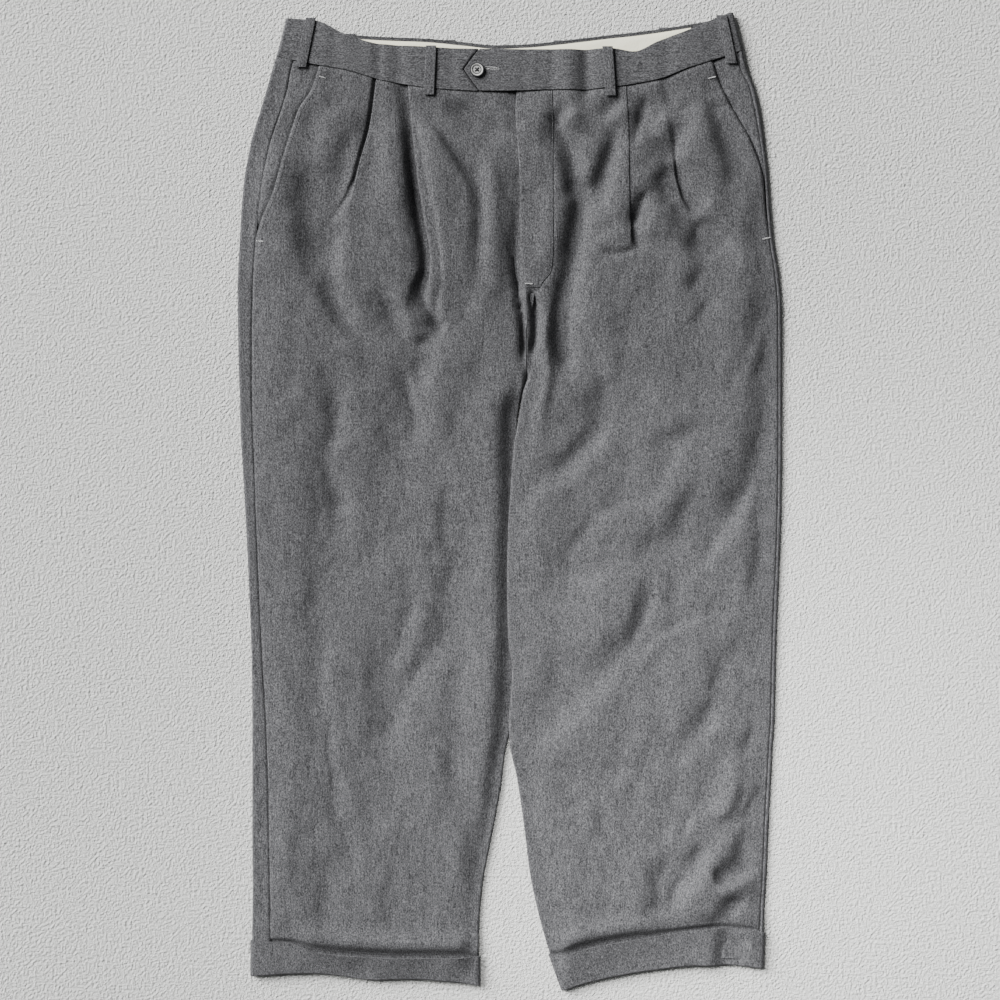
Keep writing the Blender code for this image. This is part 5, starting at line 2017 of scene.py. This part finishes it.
@dataclass
class TurnUp:
    """One turned-up cuff: a tube round the hem, whose front may sag open at its upper edge."""

    side: Side
    step: float = LAID.cuff_step
    stand: float = 0.9
    sag: float = 5.4
    least_height: float = 3.0
    ripple_share: float = 0.5
    side_calm: tuple[Ramp, Ramp] = (Ramp(0.0, 0.06), Ramp(1.0, 0.94))
    shares: tuple[float, ...] = (
        0.0, 0.012, 0.03, 0.06, 0.1, 0.15, 0.22, 0.3, 0.4, 0.5, 0.6, 0.7, 0.8, 0.88, 0.94, 0.98, 1.0,
    )
    hem_angles: tuple[int, ...] = (30, 60, 90, 120, 150, 180)
    side_angles: tuple[int, ...] = (-65, -40, -15, 15, 40, 65)

    def section(self, part: Part, place: Array, down: Array, sink: Array, near_top: Array) -> Pair:
        """Points of the ring.

        Args:
            part: The part of the ring.
            place: How far along that part, or the angle on a round edge.
            down: Distances down here.
            sink: How far inside the outer layer.
            near_top: How much of the sag shows here.

        Returns:
            Distances out and heights.
        """
        side, half = self.side, LAID.cloth / 2
        inner = LAID.leg(side, "inner", down) + half + sink
        outer = LAID.leg(side, "out_edge", down) + self.step - half - sink
        low = LAID.back_height + sink + 0 * place
        radius_out = LOFT.read("radius", down) + self.step - sink
        radius_in = LAID.inner_radius + self.step - sink
        left, right = inner - self.step + radius_in, outer - radius_out
        if part is Part.OUTER:
            return right + radius_out * np.cos(place), low + radius_out * (1 + np.sin(place))
        if part is Part.INNER:
            return left - radius_in * np.cos(place), low + radius_in * (1 + np.sin(place))
        out = left + (right - left) * place
        if part is Part.UNDER:
            return out, low
        x, top = side.value * out, LAID.top(side, out, down) + self.step - sink
        wrinkles = sum(fold.rise(x, down) for fold in CUFF_FOLDS[side])
        wrinkles = wrinkles + self.ripple_share * RIPPLES[1].rise(x, down)
        ends = self.side_calm[0].at(place) * self.side_calm[1].at(place)
        top = np.maximum(top + wrinkles * ends, low + self.least_height)
        return out, top + near_top * (self.stand * ends + self.sag * LAID.gape(side, out))

    def grid(self) -> Array:
        """Rows from the upper edge over the hem's fold to the hidden inner end.

        Returns:
            Rows by columns of points (x, down, height).
        """
        fold = self.step / 2
        rows = [(share, 0.0, 0.0) for share in self.shares]
        for angle in np.radians(self.hem_angles):
            rows.append((1.0, fold * math.sin(angle), fold * (1 - math.cos(angle))))
        rows.append((1.0, fold - LAID.hem_return + 2 * fold, self.step))
        share, beyond, sink = (np.array(column)[:, None] for column in zip(*rows))
        round_side = np.radians(self.side_angles)
        parts = (
            (Part.UNDER, np.linspace(0.0, 1.0, 24)),
            (Part.OUTER, round_side),
            (Part.TOP, np.linspace(1.0, 0.0, 110)),
            (Part.INNER, round_side[::-1]),
        )
        strips = []
        for part, places in parts:
            place = np.broadcast_to(places, (len(share), len(places)))
            down = np.full(place.shape, LAID.last_row)
            for _ in range(3):
                out, height = self.section(part, place, down, sink, (1.0 - share) ** 1.3)
                top = CUFFS[self.side].read("cuff_top", out)
                bottom = CUFFS[self.side].read("hem", out) - fold
                down = top + (bottom - top) * share + beyond
            strips.append(laid(self.side, out, down, height))
        return np.concatenate(strips, axis=1)

    def build(self, finishes: Finishes) -> None:
        """Makes the turn-up.

        Args:
            finishes: The materials.
        """
        name = f"cuff_{self.side.word}"
        cuff = sheet(f"{name}_cloth", self.grid(), LAID.cloth, closed=True)
        finish_piece(cuff, "wool", finishes.wool, name)


# --- Sewing and the button ---


@dataclass
class Sewing:
    """Stitches and bar tacks, each a copy of one small spindle of yarn."""

    radius: float = 0.32
    proud: float = LAID.cloth / 2 + 0.1
    pocket_end: float = 240.0
    from_pocket: float = 4.2
    inside_fly: float = 1.2
    tack_lift: float = 0.75
    tack_width: float = 1.1
    tack_step: float = 0.62
    tacks: tuple[tuple[str, Side, tuple[float, float], tuple[float, float]], ...] = (
        ("tack_pocket_top_right", Side.RIGHT, (205, 70), (198.5, 72)),
        ("tack_pocket_end_right", Side.RIGHT, (273, 247), (265.5, 248)),
        ("tack_pocket_top_left", Side.LEFT, (215, 72), (222, 70)),
        ("tack_pocket_end_left", Side.LEFT, (273.5, 245), (281.5, 243)),
        ("tack_fly", Side.LEFT, (17.0, 293.5), (24.5, 293.8)),
    )
    hole_ends: tuple[tuple[float, float], tuple[float, float]] = ((-27.0, 60.6), (-11.5, 61.5))
    hole_slope: float = 0.06
    hole_narrows: Ramp = Ramp(-11.5, -16.0, 0.45)
    cuff_ends: tuple[float, float] = (84.0, 210.0)
    cuff_inset: float = 3.2
    spindle: Piece | None = None

    def model_spindle(self) -> None:
        """Models one stitch, 1 mm long along x, at the origin."""
        deselect()
        along_x = (0.0, math.pi / 2, 0.0)
        bpy.ops.mesh.primitive_cylinder_add(vertices=6, radius=1.0, depth=0.7, rotation=along_x)
        self.spindle = bpy.context.object
        bpy.ops.object.transform_apply(location=True, rotation=True, scale=True)
        edit_faces(self.spindle, lambda normal: abs(normal.x) > 0.9)
        bpy.ops.mesh.extrude_faces_move(TRANSFORM_OT_shrink_fatten={"value": 0.15})
        bpy.ops.transform.resize(value=(1.0, 0.4, 0.4), center_override=(0.0, 0.0, 0.0))
        bpy.ops.object.mode_set(mode="OBJECT")

    def stitch(self, start: Array, end: Array, thickness: float = 1.0) -> Piece:
        """Copies the stitch between two points.

        Args:
            start: Where it starts, as (x, down, height) in millimetres.
            end: Where it ends.
            thickness: Of the yarn, as a share of the usual.

        Returns:
            The copy, with its place in its own mesh.
        """
        first, last = (Vector(point) for point in to_world(np.array([start, end], dtype=float)))
        along = last - first
        across = Vector((0.0, 0.0, 1.0)).cross(along).normalized()
        up = along.normalized().cross(across)
        thick = self.radius * thickness * MM
        place = Matrix((along, across * thick, up * thick)).transposed().to_4x4()
        place.translation = (first + last) / 2
        copy = bpy.data.objects.new("stitch", self.spindle.data.copy())
        copy.data.transform(place)
        bpy.context.scene.collection.objects.link(copy)
        return copy

    def finish(self, name: str, stitches: list[Piece], yarn: Material) -> None:
        """Joins stitches into one piece.

        Args:
            name: The piece's name.
            stitches: Its stitches.
            yarn: Its material.
        """
        activate(stitches[0])
        for stitch in stitches:
            stitch.select_set(True)
        bpy.ops.object.join()
        piece = bpy.context.object
        piece.name = name
        smooth_by_angle(piece, 80)
        finish_piece(piece, "wool", yarn)

    def run(self, name: str, path: Array, yarn: Material, length: float, gap: float) -> None:
        """Sews a row of stitches.

        Args:
            name: The piece's name.
            path: Points (x, down, height) on the cloth's surface.
            yarn: Its material.
            length: Of a stitch.
            gap: Between two stitches.
        """
        lengths = np.concatenate([[0.0], np.cumsum(np.linalg.norm(np.diff(path, axis=0), axis=1))])
        starts = np.arange(0.0, lengths[-1] - length, length + gap)

        def at(distance: Array) -> Array:
            """Points of the path, by their distance along it."""
            return np.stack([np.interp(distance, lengths, axis) for axis in path.T], axis=-1)

        pairs = zip(at(starts), at(starts + length))
        self.finish(name, [self.stitch(start, end) for start, end in pairs], yarn)

    def tack(self, name: str, start: Array, end: Array, yarn: Material) -> None:
        """Sews a bar tack of close cross stitches.

        Args:
            name: The piece's name.
            start: Where it starts, as (x, down, height).
            end: Where it ends.
            yarn: Its material.
        """
        along = end - start
        length = np.linalg.norm(along[:2])
        across = np.array([-along[1], along[0], 0.0]) / length * self.tack_width / 2
        lean = along / length * 0.3
        stitches = [self.stitch(start, end, 1.6)]
        for share in np.linspace(0.0, 1.0, max(4, int(length / self.tack_step))):
            middle = start + along * share + np.array([0.0, 0.0, 0.35])
            stitches.append(self.stitch(middle - across - lean, middle + across + lean, 1.1))
        self.finish(name, stitches, yarn)

    def sew_pocket(self, side: Side, yarn: Material) -> None:
        """Sews along the folded edge of one pocket's mouth.

        Args:
            side: The pocket's side.
            yarn: What it is sewn with.
        """
        down = np.linspace(LAID.first_row + 2.0, self.pocket_end, 90)
        seam = LAID.waist_seam(side.value * LAID.leg(side, "front_edge", down), Layer.FRONT)
        down = down + (seam - LAID.first_row) * smooth(self.pocket_end, LAID.first_row, down)
        out = LAID.leg(side, "front_edge", down) - self.from_pocket
        front = Front(side)
        height = front.height(out, down) - front.dip(out, down)
        self.run(f"pocket_stitch_{side.word}", laid(side, out, down, height + self.proud), yarn, 2.1, 0.8)

    def sew_fly(self, yarn: Material) -> None:
        """Sews along the fly's J seam.

        Args:
            yarn: What it is sewn with.
        """
        down = np.linspace(LAID.first_row + 2.0, LAID.fly_end - 2.0, 120)
        out = LAID.fly_seam(Side.LEFT, down) - self.inside_fly
        height = Front(Side.LEFT).height(out, down) + LAID.cloth + LAID.seam_gap
        self.run("fly_stitch", laid(Side.LEFT, out, down, height + self.proud), yarn, 2.0, 0.8)

    def sew_tacks(self, yarn: Material) -> None:
        """Sews the bar tacks at the pockets and at the fly's end.

        Args:
            yarn: What it is sewn with.
        """
        for name, side, *ends in self.tacks:
            out, down = np.array(ends, dtype=float).T
            lap = LAID.cloth + LAID.seam_gap if name == "tack_fly" else 0.0
            height = Front(side).height(out, down) + lap + self.tack_lift
            self.tack(name, *laid(side, out, down, height), yarn)

    def sew_buttonhole(self, edge_yarn: Material, slit_shade_yarn: Material) -> None:
        """Sews the buttonhole in the tab.

        Args:
            edge_yarn: For the stitches round it.
            slit_shade_yarn: For a dark stitch in the slit between them, which paints the shade of the
                opening.
        """
        band = Waistband()

        def top(x: float) -> float:
            """Height of the tab's surface."""
            return float(band.height(Side.LEFT, np.array(x))) + band.thickness / 2

        (start, start_down), (end, end_down) = self.hole_ends
        stitches = []
        for edge in (-1.15, 1.15):
            for x in np.arange(start + 0.5, end + 0.5, 0.8):
                narrow = edge * (0.55 + float(self.hole_narrows.at(x)))
                middle = start_down + (x - start) * self.hole_slope
                stitches.append(self.stitch(
                    (x, middle + narrow * 0.4, top(x)), (x + 0.15, middle + narrow * 1.3, top(x))))
        self.finish("buttonhole_stitch", stitches, edge_yarn)
        # A dark stitch laid in the slit is painted shade of the opening.
        slit = self.stitch((start, start_down, top(start) - 0.1), (end, end_down, top(end) - 0.1), 1.3)
        self.finish("buttonhole_slit_painted_shade", [slit], slit_shade_yarn)

    def sew_cuff(self, yarn: Material) -> None:
        """Sews the stitches that show inside the right turn-up.

        Args:
            yarn: What it is sewn with.
        """
        out = np.linspace(*self.cuff_ends, 120)
        down = CUFFS[Side.RIGHT].read("cuff_top", out) - self.cuff_inset
        height = Front(Side.RIGHT).height(out, down) + self.proud + 0.2
        self.run("cuff_stitch_right", laid(Side.RIGHT, out, down, height), yarn, 1.9, 1.3)

    def build(self, finishes: Finishes) -> None:
        """Sews the pockets, the fly, the tacks, the buttonhole and the turn-up's inside.

        Args:
            finishes: The materials.
        """
        for side in Side:
            self.sew_pocket(side, finishes.grey_yarn)
        self.sew_fly(finishes.grey_yarn)
        self.sew_tacks(finishes.pale_yarn)
        self.sew_buttonhole(finishes.pale_yarn, finishes.dark_yarn)
        self.sew_cuff(finishes.grey_yarn)
        bpy.data.objects.remove(self.spindle)


@dataclass
class Button:
    """A four-hole button with a raised rim, sewn on with dark yarn."""

    radius: float = 7.6
    height: float = 2.6
    rim: float = 1.7
    slope: float = 0.6
    dish: float = 0.7
    crown_run: float = 2.4
    crown: float = 0.25
    hole: float = 1.1
    hole_place: float = 2.2
    edge: float = 0.45
    thread_lift: float = 0.5
    thread_shift: float = 0.4

    def drill(self, button: Piece, spot: Vector) -> None:
        """Cuts one hole.

        Args:
            button: The button.
            spot: The hole's middle.
        """
        deselect()
        bpy.ops.mesh.primitive_cylinder_add(vertices=16, radius=self.hole * MM, depth=0.02, location=spot)
        drill = bpy.context.object
        cut = button.modifiers.new("Hole", "BOOLEAN")
        cut.object = drill
        cut.solver = "EXACT"
        apply_modifiers(button)
        bpy.data.objects.remove(drill)

    def build(self, finishes: Finishes, sewing: Sewing) -> None:
        """Models the button where the node is, and sews it on.

        Args:
            finishes: The materials.
            sewing: What makes the stitches.
        """
        low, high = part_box("button")
        base = low[2] / MM
        middle = Vector(((low[0] + high[0]) / 2, (low[1] + high[1]) / 2, (base + self.height / 2) * MM))
        deselect()
        bpy.ops.mesh.primitive_cylinder_add(
            vertices=64, radius=self.radius * MM, depth=self.height * MM, location=middle)
        button = bpy.context.object
        button.name = "button_disc"
        bpy.ops.object.transform_apply(location=True, rotation=True, scale=True)
        edit_faces(button, lambda normal: normal.z > 0.9)
        for width, rise in ((self.rim, 0.0), (self.slope, -self.dish), (self.crown_run, self.crown)):
            bpy.ops.mesh.inset(thickness=width * MM, depth=rise * MM)
        bpy.ops.object.mode_set(mode="OBJECT")
        for x, y in ((-1, -1), (-1, 1), (1, -1), (1, 1)):
            self.drill(button, middle + Vector((x, y, 0.0)) * self.hole_place / 2 * 1.25 * MM)
        round_edges(button, self.edge, 3, sharp=35, shade=45)
        finish_piece(button, "button", finishes.button, "button")
        x, down = middle.x / MM, LENGTH / 2 - middle.y / MM
        top = base + self.height - self.dish + self.thread_lift
        reach = self.hole_place * 0.8
        threads = []
        for lean in (1, -1):
            for shift in (-self.thread_shift, self.thread_shift):
                start = (x - reach + shift, down - lean * reach, top)
                threads.append(sewing.stitch(start, (x + reach + shift, down + lean * reach, top), 1.1))
        sewing.finish("button_thread", threads, finishes.dark_yarn)


# --- Studio ---


@dataclass
class Studio:
    """A pale floor, soft light from the upper left and the camera straight above."""

    floor_size: float = 4.0
    floor_drop: float = 0.0002
    window: Triple = (-0.68, 0.45, 0.50)
    window_power: float = 9.2
    window_angle: float = 36.0
    lamp: Triple = (-0.10, 0.02, 1.0)
    lamp_target: Triple = (0.36, -0.46, 0.0)
    lamp_size: float = 0.4
    lamp_spread: float = 70.0
    lamp_power: float = 2.3
    room: tuple[float, float, float, float] = (0.96, 0.98, 1.0, 1.0)
    room_strength: float = 0.11
    camera_place: Triple = (-0.01026, 0.00189, 2.6)
    view_angle: float = 23.51

    def hang(self, data: bpy.types.ID, place: tuple[float, ...], facing: Vector | None = None) -> Piece:
        """Puts a lamp or a camera in the scene.

        Args:
            data: What it is.
            place: Where it hangs.
            facing: Its direction; without one it looks straight down.

        Returns:
            Its object.
        """
        holder = bpy.data.objects.new(data.name, data)
        holder.location = place
        if facing is not None:
            holder.rotation_euler = facing.to_track_quat("-Z", "Y").to_euler()
        bpy.context.scene.collection.objects.link(holder)
        return holder

    def lay_floor(self) -> None:
        """Makes the floor."""
        deselect()
        bpy.ops.mesh.primitive_plane_add(size=self.floor_size, location=(0.0, 0.0, -self.floor_drop))
        floor = bpy.context.object
        floor.name = "floor"
        bpy.ops.object.transform_apply(location=True, rotation=False, scale=False)
        floor.data.materials.append(PaleFloor().make())

    def build(self) -> None:
        """Makes the floor, the lights and the camera."""
        self.lay_floor()
        window = bpy.data.lights.new("window", "SUN")
        window.energy, window.angle = self.window_power, math.radians(self.window_angle)
        self.hang(window, (0.0, 0.0, 0.0), -Vector(self.window))
        lamp = bpy.data.lights.new("near window", "AREA")
        lamp.size, lamp.energy, lamp.spread = self.lamp_size, self.lamp_power, math.radians(self.lamp_spread)
        self.hang(lamp, self.lamp, Vector(self.lamp_target) - Vector(self.lamp))
        world = bpy.data.worlds.new("room")
        bpy.context.scene.world = world
        world.use_nodes = True
        background = world.node_tree.nodes["Background"]
        background.inputs["Color"].default_value = self.room
        background.inputs["Strength"].default_value = self.room_strength
        lens = bpy.data.cameras.new("camera")
        lens.lens_unit = "FOV"
        lens.angle = math.radians(self.view_angle)
        bpy.context.scene.camera = self.hang(lens, self.camera_place)


def main() -> None:
    """Builds the trousers piece by piece, then the studio."""
    logging.basicConfig(level=logging.INFO, format="%(name)s %(message)s")
    finishes = Finishes.make()
    for side in Side:
        front = Front(side).build(finishes)
        if side is Side.LEFT:
            Fly().build(finishes, front)
        Back(side).build(finishes)
        PocketFacing(side).build(finishes)
        TurnUp(side).build(finishes)
    Waistband().build(finishes)
    BeltLoops().build(finishes)
    sewing = Sewing()
    sewing.model_spindle()
    Button().build(finishes, sewing)
    sewing.build(finishes)
    Studio().build()


if __name__ == "__main__":
    main()
